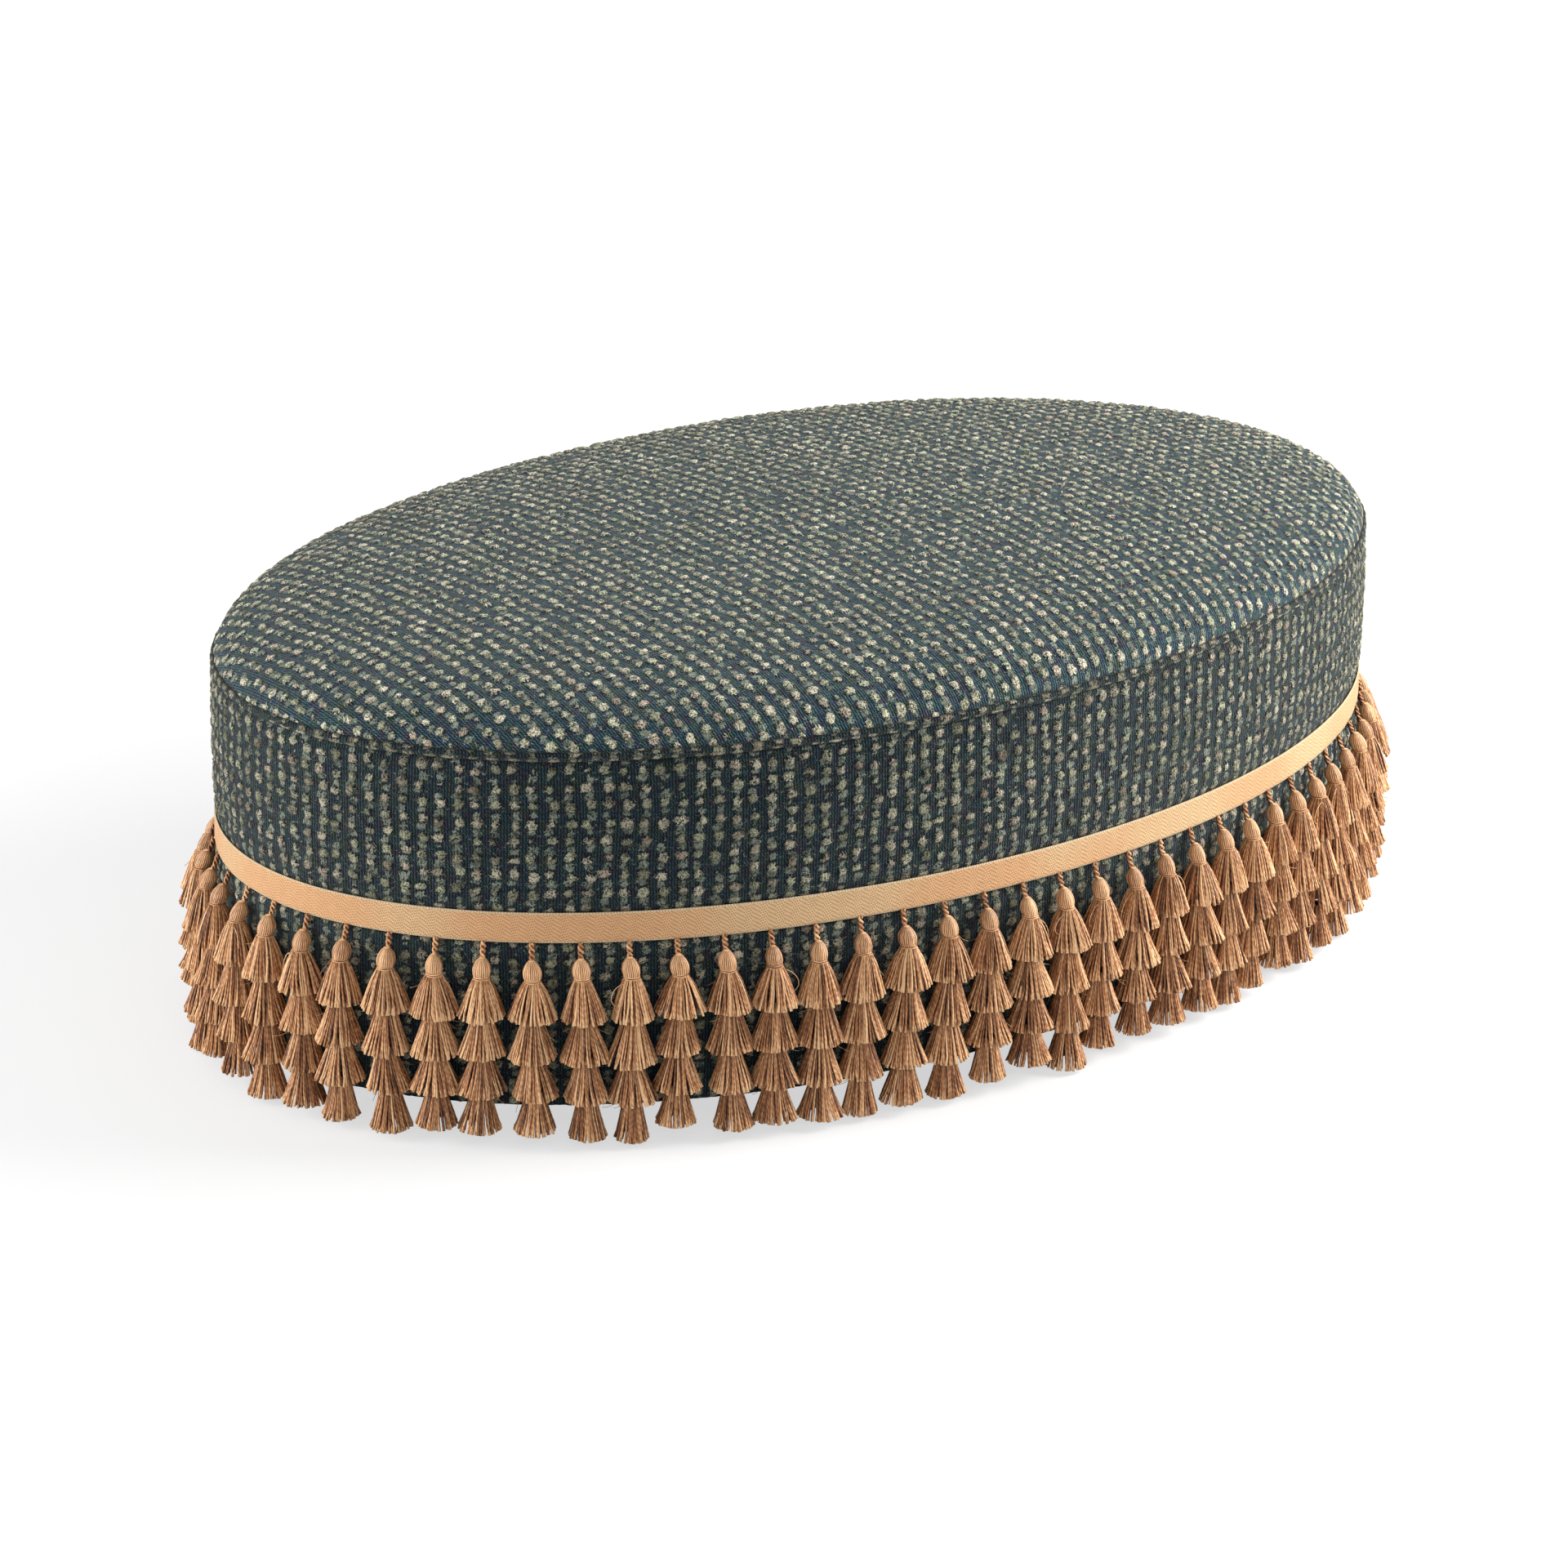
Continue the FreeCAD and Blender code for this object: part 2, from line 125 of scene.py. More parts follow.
def smooth_noise(x: np.ndarray, y: np.ndarray, seed: int) -> np.ndarray:
    """Smooth noise from -1 to 1: the shares of a lattice, eased into each other both ways.

    Args:
        x: First places, in steps of the lattice.
        y: Second places.
        seed: Which scatter the lattice takes.

    Returns:
        The noise at each pair of places.
    """
    column, row = np.floor(x), np.floor(y)
    across, along = ease(x - column), ease(y - row)
    low, high = (scatter(column, level, seed) * (1 - across) + scatter(column + 1, level, seed) * across
                 for level in (row, row + 1))
    return 2 * (low * (1 - along) + high * along) - 1


def smooth_step(low: float, high: float, value: np.ndarray) -> np.ndarray:
    """Rise smoothly from 0 at low to 1 at high."""
    return ease(np.clip((value - low) / (high - low), 0.0, 1.0))


# Meshes from arrays

@dataclass
class Surface:
    """Points, faces and what they carry, gathered before they become one mesh.

    Faces are kept by their number of corners, each with the corners' UV places.
    """

    points: list[np.ndarray] = field(default_factory=list)
    faces: list[np.ndarray] = field(default_factory=list)
    places: list[np.ndarray] = field(default_factory=list)
    marks: dict[str, list[np.ndarray]] = field(default_factory=dict)
    count: int = 0

    def add(self, points: np.ndarray, faces: Sequence[np.ndarray],
            places: Sequence[Union[np.ndarray, None]], **marks: Union[np.ndarray, float]) -> None:
        """Add points with their faces.

        Args:
            points: Places in millimetres, one row each.
            faces: Arrays of corner numbers, counted from this batch's first point.
            places: UV places of each array's corners, or None for zeros.
            marks: Named values, one for each point or one for all.
        """
        flat = points.reshape(-1, 3)
        for corners, uv in zip(faces, places):
            self.faces.append(corners + self.count)
            self.places.append(np.zeros((*corners.shape, 2)) if uv is None else uv)
        for name, value in marks.items():
            each = np.asarray(value, dtype=np.float64).reshape(-1)
            self.marks.setdefault(name, []).append(np.broadcast_to(each, (len(flat),)))
        self.points.append(flat)
        self.count += len(flat)

    def join(self, faces: np.ndarray) -> None:
        """Add faces between points that are already there, by their numbers in the whole."""
        self.faces.append(faces)
        self.places.append(np.zeros((*faces.shape, 2)))

    def build(self, name: str, outward: bool = False) -> bpy.types.Object:
        """Make the mesh object.

        Args:
            name: Name of the object.
            outward: Whether the closed shell's faces are turned to point out.

        Returns:
            The object, linked to the scene, at the origin.
        """
        mesh = bpy.data.meshes.new(name)
        points = np.concatenate(self.points) * MM
        sizes = np.concatenate([np.full(len(f), f.shape[1]) for f in self.faces])
        corners = np.concatenate([f.reshape(-1) for f in self.faces])
        uv = np.concatenate([p.reshape(-1, 2) for p in self.places])
        mesh.vertices.add(len(points))
        mesh.vertices.foreach_set("co", points.astype(np.float32).reshape(-1))
        mesh.loops.add(len(corners))
        mesh.loops.foreach_set("vertex_index", corners.astype(np.int32))
        mesh.polygons.add(len(sizes))
        starts = np.concatenate([[0], np.cumsum(sizes)[:-1]])
        mesh.polygons.foreach_set("loop_start", starts.astype(np.int32))
        layer = mesh.uv_layers.new(name="weave")
        layer.uv.foreach_set("vector", uv.astype(np.float32).reshape(-1))
        for mark, values in self.marks.items():
            attribute = mesh.attributes.new(mark, "FLOAT", "POINT")
            attribute.data.foreach_set("value", np.concatenate(values).astype(np.float32))
        mesh.update(calc_edges=True)
        mesh.polygons.foreach_set("use_smooth", np.ones(len(sizes), dtype=bool))
        if outward:
            shell = bmesh.new()
            shell.from_mesh(mesh)
            bmesh.ops.recalc_face_normals(shell, faces=shell.faces)
            shell.to_mesh(mesh)
            shell.free()
        mesh.validate()
        piece = bpy.data.objects.new(name, mesh)
        bpy.context.scene.collection.objects.link(piece)
        return piece


def grid_corners(rows: int, columns: int, wrap: bool = False, close: bool = False) -> np.ndarray:
    """Corner numbers of a grid's quads.

    Args:
        rows: Points from first row to last.
        columns: Points along a row.
        wrap: Whether each row joins its own start.
        close: Whether the last row joins the first.

    Returns:
        One row of four corner numbers for each quad.
    """
    row = np.arange(rows if close else rows - 1)[:, None]
    column = np.arange(columns if wrap else columns - 1)[None, :]
    after, beside = (row + 1) % rows, (column + 1) % columns
    quad = [row * columns + column, row * columns + beside,
            after * columns + beside, after * columns + column]
    return np.stack(np.broadcast_arrays(*quad), axis=-1).reshape(-1, 4)


def stitch(fine: np.ndarray, coarse: np.ndarray, ratio: int, wrap: bool = True) -> np.ndarray:
    """Join a fine edge to a coarse one with faces of ratio + 3 corners.

    Args:
        fine: Point numbers along the fine edge, ratio of them to each coarse one.
        coarse: Point numbers along the coarse edge.
        ratio: Fine steps in one coarse step.
        wrap: Whether both edges are closed loops.

    Returns:
        Corner numbers, one face for each coarse step.
    """
    count = len(coarse) if wrap else len(coarse) - 1
    first = np.arange(count)
    run = (first[:, None] * ratio + np.arange(ratio + 1)[None, :]) % len(fine)
    back = np.stack([coarse[(first + 1) % len(coarse)], coarse[first]], axis=1)
    return np.concatenate([fine[run], back], axis=1)


def rim(rows: int, columns: int) -> np.ndarray:
    """Point numbers around the edge of a grid, as one closed loop."""
    numbers = np.arange(rows * columns).reshape(rows, columns)
    return np.concatenate([numbers[0, :-1], numbers[:-1, -1], numbers[-1, :0:-1], numbers[:0:-1, 0]])


def disc(rows: int, columns: int) -> Arrays:
    """A square grid bent to a disc: x = u * root(1 - v^2 / 2), and y the other way round."""
    v, u = np.meshgrid(np.linspace(-1, 1, rows), np.linspace(-1, 1, columns), indexing="ij")
    return u * np.sqrt(1 - v ** 2 / 2), v * np.sqrt(1 - u ** 2 / 2)


def wrapped(uv: np.ndarray, quads: np.ndarray, length: float) -> np.ndarray:
    """UV places of quads round a loop, carried past the loop's end where they cross it.

    Args:
        uv: Place of each point.
        quads: Corner numbers of the quads.
        length: Length once round.

    Returns:
        Place of each corner of each quad.
    """
    places = uv[quads]
    crossing = (places[..., 0].max(axis=1) - places[..., 0].min(axis=1)) > length / 2
    low = places[..., 0] < length / 2
    places[..., 0] += length * (crossing[:, None] & low)
    return places


def tubes(paths: np.ndarray, radii: np.ndarray, sides: int, facing: np.ndarray) -> Arrays:
    """Carry a small polygon along many paths at once.

    Each ring stands square to its path. Its first corner lies towards the facing, less
    the facing's part along the path, and the path's direction crossed with that first
    axis gives the ring's other axis.

    Args:
        paths: Points of each path, as paths x points x 3.
        radii: Radius at each point, as paths x points.
        sides: Corners of the polygon.
        facing: Direction of each path's first corner, as paths x 3.

    Returns:
        Points (paths x points x sides x 3), side quads, end faces and the quads' UV
        places: u once round the tube and v the length along it in millimetres.
    """
    number, steps = paths.shape[:2]
    along = np.gradient(paths, axis=1)
    along /= np.linalg.norm(along, axis=2, keepdims=True) + TINY
    first = facing[:, None, :] - along * (along * facing[:, None, :]).sum(axis=2, keepdims=True)
    first /= np.linalg.norm(first, axis=2, keepdims=True) + TINY
    second = np.cross(along, first)
    turn = np.arange(sides) * TURN / sides
    ring = (first[:, :, None, :] * np.cos(turn)[None, None, :, None]
            + second[:, :, None, :] * np.sin(turn)[None, None, :, None])
    points = paths[:, :, None, :] + ring * radii[:, :, None, None]
    base = np.arange(number)[:, None, None] * steps * sides
    quads = (grid_corners(steps, sides, wrap=True)[None] + base).reshape(-1, 4)
    ends = np.stack([np.arange(sides)[::-1], (steps - 1) * sides + np.arange(sides)])
    caps = (ends[None] + base).reshape(-1, sides)
    length = np.concatenate([np.zeros((number, 1)), np.cumsum(
        np.linalg.norm(np.diff(paths, axis=1), axis=2), axis=1)], axis=1)
    side = np.tile(np.arange(sides), steps - 1)
    step = np.repeat(np.arange(steps - 1), sides)
    low, high = length[:, step], length[:, step + 1]
    left = np.broadcast_to(side / sides, low.shape)
    right = np.broadcast_to((side + 1) / sides, low.shape)
    uv = np.stack([np.stack([left, low], -1), np.stack([right, low], -1),
                   np.stack([right, high], -1), np.stack([left, high], -1)], axis=2)
    return points, quads, caps, uv.reshape(-1, 4, 2)


def put_on(piece: bpy.types.Object, material: bpy.types.Material, body: str, node: str) -> None:
    """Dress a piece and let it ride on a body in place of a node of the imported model.

    Args:
        piece: The finished piece.
        material: Its material.
        body: Name of the body that it rides on.
        node: Name of the node that it replaces.
    """
    piece.data.materials.append(material)
    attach(piece, body)
    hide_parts(node)
    log.info("%s: %d faces", piece.name, len(piece.data.polygons))


# Shader graphs

class Wire:
    """A socket of a shader graph that takes part in Python expressions."""

    def __init__(self, graph: "Graph", socket: bpy.types.NodeSocket) -> None:
        """Wrap a socket of a graph."""
        self.graph = graph
        self.socket = socket

    def _math(self, operation: str, *values: "Value") -> "Wire":
        """Add a Math node that works on the values in order."""
        return self.graph.add("ShaderNodeMath", {"operation": operation}, dict(enumerate(values)))

    def __add__(self, other: "Value") -> "Wire":
        """Sum."""
        return self._math("ADD", self, other)

    __radd__ = __add__

    def __sub__(self, other: "Value") -> "Wire":
        """Difference."""
        return self._math("SUBTRACT", self, other)

    def __rsub__(self, other: "Value") -> "Wire":
        """Difference from a number."""
        return self._math("SUBTRACT", other, self)

    def __mul__(self, other: "Value") -> "Wire":
        """Product."""
        return self._math("MULTIPLY", self, other)

    __rmul__ = __mul__

    def wave(self) -> "Wire":
        """Sine of the value, moved to run from 0 to 1."""
        return self._math("SINE", self) * 0.5 + 0.5

    def ribs(self, pitch: float) -> "Wire":
        """Ribs at a pitch: 0 where the value is a whole number of pitches, 1 half way."""
        return (self * (TURN / pitch) - math.pi / 2).wave()

    def size(self) -> "Wire":
        """The value without its sign."""
        return self._math("ABSOLUTE", self)

    def larger(self, other: "Value") -> "Wire":
        """The larger of two values."""
        return self._math("MAXIMUM", self, other)

    def line(self, width: float) -> "Wire":
        """One where the value is near one half, falling to 0 at a width from it."""
        return 1 - (self - 0.5).size().rise(width * 0.35, width)

    def floor(self) -> "Wire":
        """Whole number below the value."""
        return self._math("FLOOR", self)

    def fold(self, width: float) -> "Wire":
        """Run up to a width and back down again, over and over."""
        return self._math("PINGPONG", self, width)

    def rise(self, low: float, high: float) -> "Wire":
        """Rise smoothly from 0 at low to 1 at high."""
        return self.graph.add("ShaderNodeMapRange", {"interpolation_type": "SMOOTHSTEP"},
                              {0: self, 1: low, 2: high, 3: 0.0, 4: 1.0})


Value = Union[Wire, float]
Paint = Union[Wire, Colour]


class Graph:
    """The node graph of one material or world, written as expressions."""

    def __init__(self, owner: Union[bpy.types.Material, bpy.types.World]) -> None:
        """Empty the graph of a new material or world.

        Args:
            owner: The material or world.
        """
        owner.use_nodes = True
        self.owner, self.tree = owner, owner.node_tree
        self.tree.nodes.clear()

    def add(self, kind: str, settings: Union[dict[str, Any], None] = None,
            sockets: Union[dict[Union[int, str], Any], None] = None, output: Union[int, str] = 0) -> Wire:
        """Add any node.

        Args:
            kind: The node's type.
            settings: Properties set first; "stops" holds a ramp's places and colours.
            sockets: Values or wires of its inputs, by number or name.
            output: Which output the result carries.

        Returns:
            The chosen output, or None from a node that has no output.
        """
        node = self.tree.nodes.new(kind)
        for name, value in (settings or {}).items():
            if name == "stops":
                ramp = node.color_ramp.elements
                while len(ramp) < len(value):
                    ramp.new(0.5)
                for stop, (place, colour) in zip(ramp, value):
                    stop.position = place
                    stop.color = (*colour, 1.0)
            else:
                setattr(node, name, value)
        for name, value in (sockets or {}).items():
            socket = node.inputs[name]
            if isinstance(value, Wire):
                self.tree.links.new(value.socket, socket)
            elif isinstance(value, tuple) and socket.type == "RGBA":
                socket.default_value = (*value, 1.0)
            else:
                socket.default_value = value
        return Wire(self, node.outputs[output]) if node.outputs else None

    def mark(self, name: str) -> Wire:
        """A named value that the mesh carries."""
        return self.add("ShaderNodeAttribute", {"attribute_name": name}, output="Fac")

    def place(self) -> Wire:
        """Object coordinates, in metres."""
        return self.add("ShaderNodeTexCoord", output="Object")

    def split(self, vector: Wire) -> tuple[Wire, ...]:
        """The first two parts of a vector."""
        return tuple(self.add("ShaderNodeSeparateXYZ", sockets={0: vector}, output=part) for part in (0, 1))

    def weave_place(self) -> tuple[Wire, ...]:
        """The mesh's own UV map, as its two coordinates."""
        return self.split(self.add("ShaderNodeUVMap", {"uv_map": "weave"}))

    def noise(self, place: Wire, size_mm: float, detail: float = 2.0, twist: float = 0.0) -> Wire:
        """Noise of a feature size in millimetres on object coordinates."""
        return self.add("ShaderNodeTexNoise", sockets={
            "Vector": place, "Scale": 1 / (size_mm * MM), "Detail": detail, "Distortion": twist})

    def noise_of(self, first: Wire, second: Wire, detail: float) -> Wire:
        """Noise on two values, of a feature size of one."""
        place = self.add("ShaderNodeCombineXYZ", sockets={0: first, 1: second})
        return self.add("ShaderNodeTexNoise", sockets={"Vector": place, "Scale": 1.0, "Detail": detail})

    def mix(self, share: Value, low: Paint, high: Paint) -> Wire:
        """Blend two colours by a share."""
        return self.add("ShaderNodeMix", {"data_type": "RGBA"}, {0: share, 6: low, 7: high}, output=2)

    def shade(self, colour: Paint, share: Value) -> Wire:
        """Scale a colour by a value."""
        return self.add("ShaderNodeVectorMath", {"operation": "SCALE"}, {0: colour, "Scale": share})

    def bump(self, height: Wire, depth_mm: float, strength: float = 1.0) -> Wire:
        """Normal that follows a height from 0 to 1, of a depth in millimetres."""
        return self.add("ShaderNodeBump", sockets={
            "Strength": strength, "Distance": depth_mm * MM, "Height": height})

    def finish(self, **sockets: Any) -> bpy.types.Material:
        """Close the graph with a Principled shader.

        Args:
            sockets: Values or wires by the sockets' names, with _ for a space.

        Returns:
            The finished material.
        """
        named = {name.replace("_", " "): value for name, value in sockets.items()}
        surface = self.add("ShaderNodeBsdfPrincipled", sockets=named)
        self.add("ShaderNodeOutputMaterial", sockets={"Surface": surface})
        return self.owner


# Finishes

@dataclass(frozen=True)
class TweedFinish:
    """Chunky tweed: pale curled nubs and grey tufts over dark navy and teal strands."""

    navy: Colour = (0.021, 0.038, 0.070)
    teal: Colour = (0.022, 0.058, 0.068)
    moss: Colour = (0.034, 0.054, 0.040)
    plum: Colour = (0.033, 0.032, 0.055)
    fleck: Colour = (0.12, 0.165, 0.18)
    stone: Colour = (0.60, 0.54, 0.40)
    olive: Colour = (0.45, 0.46, 0.30)
    blush: Colour = (0.50, 0.38, 0.29)
    cream: Colour = (0.88, 0.84, 0.71)
    husk: Colour = (0.080, 0.079, 0.053)
    slate: Colour = (0.036, 0.052, 0.046)
    ash: Colour = (0.29, 0.32, 0.25)
    strand_mm: float = 15.88 / 6
    ply_mm: float = 4.4
    run_mm: float = 13.0
    curl_mm: float = 4.6
    snarl_mm: float = 3.1
    fuzz_mm: float = 1.0
    cloud_mm: float = 9.0
    curl_line: float = 0.095
    snarl_line: float = 0.075
    relief_mm: float = 1.5

    def material(self) -> bpy.types.Material:
        """Build the material from the marks that the weave leaves on the mesh, and from the painted shade and
        painted light marks.

        Curled threads lie where a twisted noise is near its middle value. Strands are
        waves across the cloth, each with its own colours that change along it.

        Returns:
            The material.
        """
        g = Graph(bpy.data.materials.new("tweed"))
        place = g.place()
        nub, tuft, tone, hue, crease, nap = (g.mark(name) for name in WEAVE_MARKS)
        across, along = g.weave_place()
        curl = g.noise(place, self.curl_mm, 1.0, 1.5)
        snarl = g.noise(place, self.snarl_mm, 1.0, 0.9)
        fuzz = g.noise(place, self.fuzz_mm)
        cloud = g.noise(place, self.cloud_mm, 1.0)
        own = g.noise_of((across * (1 / self.strand_mm)).floor() * 3.7, along * (1 / self.run_mm), 1.0)
        strand = across.ribs(self.strand_mm)
        ply = (along * (TURN / self.ply_mm) + across * (TURN / self.strand_mm) + snarl * 9.0).wave()
        dark = g.mix(own.rise(0.40, 0.50), self.navy, self.teal)
        dark = g.mix(own.rise(0.56, 0.63), dark, self.moss)
        dark = g.mix(cloud.rise(0.55, 0.66), dark, self.plum)
        # Painted shade: dark in the grooves between strands and between their plies.
        dark = g.shade(dark, (strand.rise(0.0, 0.62) * 0.94 + 0.06) * (ply * 1.05 + 0.42))
        dark = g.mix(fuzz.rise(0.55, 0.72) * ply * 0.55, dark, self.fleck)
        # Painted light: the dark strands are lighter on the top and darker on the side.
        dark = g.shade(dark, nap * 0.86 + 1.12)
        thread = curl.line(self.curl_line).larger(snarl.line(self.snarl_line)) * (fuzz * 0.9 + 0.5)
        grey = g.mix(thread, self.slate, self.ash)
        grey_cover = (tuft + (snarl - 0.5) * 2.2 + (fuzz - 0.5) * 0.8).rise(0.34, 0.62)
        # Painted light: the tone carries the top's painted lift, so the tufts are lighter on the top.
        grey = g.shade(grey, tone * 0.25 + 0.95)
        body = g.mix(grey_cover * 0.9, dark, grey)
        pale = g.mix(hue.rise(0.30, 0.55), self.stone, self.olive)
        pale = g.mix(hue.rise(0.84, 0.93), pale, self.blush)
        # Painted light: the tone and the painted lift make the top's nubs paler and creamier and the side's
        # darker.
        pale = g.mix(fuzz.rise(0.50, 0.66) * (tone * 0.35 + 0.50), pale, self.cream)
        pale = g.shade(pale, tone * 0.20 + nap * 0.14 + 0.75)
        curled = g.mix(thread, g.shade(self.husk, tone * 0.30 + 1.0), pale)
        # Painted highlight: the nubs are lighter on their tops and darker towards their edges.
        curled = g.shade(curled, nub * 0.78 + 0.50)
        cover = (nub + (curl - 0.5) * 2.4 + (fuzz - 0.5) * 1.3).rise(0.38, 0.66)
        # Painted shade: the strands are darkened round each nub.
        body = g.shade(body, 1 - nub.rise(0.02, 0.25) * 0.4)
        # Painted shade: darkened in the creases at the seam and beside the tape.
        base = g.shade(g.mix(cover, body, curled), 1 - crease * 0.85)
        height = thread * (cover * 0.5 + 0.15) + strand * 0.35 + ply * 0.20 + fuzz * 0.30
        return g.finish(Base_Color=base, Roughness=0.94, Normal=g.bump(height, self.relief_mm, 0.8),
                        Sheen_Weight=0.16, Sheen_Roughness=0.5, Sheen_Tint=(1.0, 0.98, 0.88),
                        Specular_IOR_Level=0.10)


@dataclass(frozen=True)
class JuteFinish:
    """Twisted jute yarn with painted light: lighter on each yarn's outer side, painted shade on its inner
    side and between yarns, and lighter at the frayed tips.
    """

    deep: Colour = (0.045, 0.016, 0.006)
    brown: Colour = (0.225, 0.080, 0.029)
    straw: Colour = (0.56, 0.248, 0.096)
    pale: Colour = (0.97, 0.62, 0.33)
    twist_mm: float = 5.2
    streak_mm: float = 11.0
    hair_mm: float = 0.9

    def material(self) -> bpy.types.Material:
        """Build the material: painted highlight along each yarn's outer side, painted shade between yarns.

        Returns:
            The material.
        """
        g = Graph(bpy.data.materials.new("jute yarn"))
        place = g.place()
        tone, tip = g.mark("tone"), g.mark("tip")
        round_share, length_mm = g.weave_place()
        # Painted light: 1 on the side of a yarn that faces out of the tassel, falling to painted shade on its
        # inner side.
        painted_outer_light = (round_share * TURN + math.pi / 2).wave().rise(0.25, 0.98)
        lay = (round_share * TURN + length_mm * (TURN / self.twist_mm) + tone * 41.0).wave()
        streak = g.noise_of(tone * 173.0 + round_share * 2.0, length_mm * (1 / self.streak_mm), 2.0)
        hair = g.noise(place, self.hair_mm)
        # The tone holds each yarn's own tone and the painted shade of inner yarns and lower tiers.
        level = (tone * 0.85 + painted_outer_light * 0.58 + (streak - 0.5) * 1.15 + tip * 0.25
                 + (lay - 0.5) * 0.16 + (hair - 0.5) * 0.45 - 0.27)
        base = g.add("ShaderNodeValToRGB", {"stops": [
            (0.10, self.deep), (0.40, self.brown), (0.72, self.straw), (1.0, self.pale)]}, {0: level})
        return g.finish(Base_Color=base, Roughness=0.50, Normal=g.bump(lay * 0.7 + hair * 0.6, 0.35, 0.6),
                        Sheen_Weight=0.08, Sheen_Roughness=0.4, Specular_IOR_Level=0.45)


@dataclass(frozen=True)
class TapeFinish:
    """Jute tape: short floats in close rows that climb and fall in a zigzag."""

    width_mm: float
    straw: Colour = (0.95, 0.555, 0.285)
    gold: Colour = (0.95, 0.67, 0.37)
    seam: Colour = (0.42, 0.19, 0.075)
    thread: Colour = (1.0, 0.76, 0.48)
    zigzag_mm: float = 7.2
    row_mm: float = 1.5
    float_mm: float = 3.4
    row_step_mm: float = 1.35
    hair_mm: float = 0.9
    fleck_mm: float = 6.0
    patch_mm: float = 190.0
    cord_mm: float = 2.6
    selvedge_mm: tuple[float, float] = (1.6, 1.0)

    def material(self) -> bpy.types.Material:
        """Build the material: rows fold up and down along the tape, floats step in each row.

        Returns:
            The material.
        """
        g = Graph(bpy.data.materials.new("jute tape"))
        place = g.place()
        along, up = g.weave_place()
        climb = up + along.fold(self.zigzag_mm) * 0.5
        step = along + (climb * (1 / self.row_mm)).floor() * self.row_step_mm
        weave = climb.ribs(self.row_mm).rise(0.02, 0.55) * step.ribs(self.float_mm).rise(0.0, 0.30)
        hair = g.noise(place, self.hair_mm)
        patch = g.noise(place, self.patch_mm, 1.0)
        fleck = g.noise(place, self.fleck_mm)
        body = g.mix(patch.rise(0.42, 0.60), self.straw, self.gold)
        body = g.shade(body, hair * 0.55 + fleck * 0.25 + 0.62)
        base = g.mix(weave * 0.76 + 0.24, self.seam, body)
        half = self.width_mm / 2
        selvedge = (up - half).size().rise(half - self.selvedge_mm[0], half - self.selvedge_mm[1])
        cord = g.shade(self.thread, (along * (TURN / self.cord_mm)).wave() * 0.35 + 0.62)
        base = g.mix(selvedge, base, cord)
        height = weave * 0.8 + hair * 0.3 + selvedge * 0.4
        return g.finish(Base_Color=base, Roughness=0.72, Normal=g.bump(height, 0.8, 0.8),
                        Sheen_Weight=0.10, Sheen_Roughness=0.4, Specular_IOR_Level=0.3)


class Grain(Enum):
    """How a plain finish varies over a surface."""

    WOOD = "wood"
    FOAM = "foam"
    CLOTH = "cloth"
    METAL = "metal"
    MOULDED = "moulded"


@dataclass(frozen=True)
class PlainFinish:
    """A finish of two close colours, for the frame and what lies under the cover."""

    name: str
    grain: Grain
    low: Colour
    high: Colour
    roughness: float
    metallic: float = 0.0

    def material(self) -> bpy.types.Material:
        """Build the material with the figure that its grain calls for.

        Returns:
            The material.
        """
        g = Graph(bpy.data.materials.new(self.name))
        place = g.place()
        if self.grain is Grain.WOOD:
            long_place = g.add("ShaderNodeMapping", sockets={"Vector": place, "Scale": (0.12, 1.0, 1.0)})
            figure = g.noise(long_place, 9.0, 4.0, 1.2)
            depth = 0.15
        elif self.grain is Grain.FOAM:
            figure = g.add("ShaderNodeTexVoronoi", sockets={"Vector": place, "Scale": 1 / (1.6 * MM)})
            depth = 0.5
        elif self.grain is Grain.CLOTH:
            x, y = ((part * (TURN / (2.2 * MM))).wave() for part in g.split(place))
            figure = x * y * 0.7 + g.noise(place, 1.5) * 0.5
            depth = 0.3
        elif self.grain is Grain.METAL:
            figure = g.noise(place, 1.2, 3.0)
            depth = 0.03
        else:
            figure = g.noise(place, 0.8, 3.0)
            depth = 0.06
        return g.finish(Base_Color=g.mix(figure, self.low, self.high),
                        Roughness=figure * 0.15 + (self.roughness - 0.07),
                        Metallic=self.metallic, Normal=g.bump(figure, depth, 0.6))


PLAIN_FINISHES = (
    PlainFinish("plywood", Grain.WOOD, (0.46, 0.30, 0.16), (0.68, 0.50, 0.31), 0.7),
    PlainFinish("pine", Grain.WOOD, (0.55, 0.36, 0.18), (0.74, 0.56, 0.34), 0.7),
    PlainFinish("hardboard", Grain.WOOD, (0.12, 0.065, 0.032), (0.19, 0.11, 0.06), 0.6),
    PlainFinish("zinc_steel", Grain.METAL, (0.48, 0.48, 0.47), (0.66, 0.66, 0.65), 0.38, 1.0),
    PlainFinish("webbing", Grain.CLOTH, (0.24, 0.15, 0.07), (0.48, 0.34, 0.19), 0.9),
    PlainFinish("hessian", Grain.CLOTH, (0.26, 0.18, 0.09), (0.52, 0.39, 0.23), 0.95),
    PlainFinish("foam", Grain.FOAM, (0.62, 0.56, 0.38), (0.80, 0.75, 0.58), 0.95),
    PlainFinish("wadding", Grain.FOAM, (0.70, 0.70, 0.68), (0.88, 0.88, 0.86), 0.98),
    PlainFinish("dust_cloth", Grain.CLOTH, (0.012, 0.012, 0.014), (0.035, 0.035, 0.038), 0.95),
    PlainFinish("black_foot", Grain.MOULDED, (0.010, 0.010, 0.011), (0.022, 0.022, 0.024), 0.42),
)


# The stool's oval and its cloth

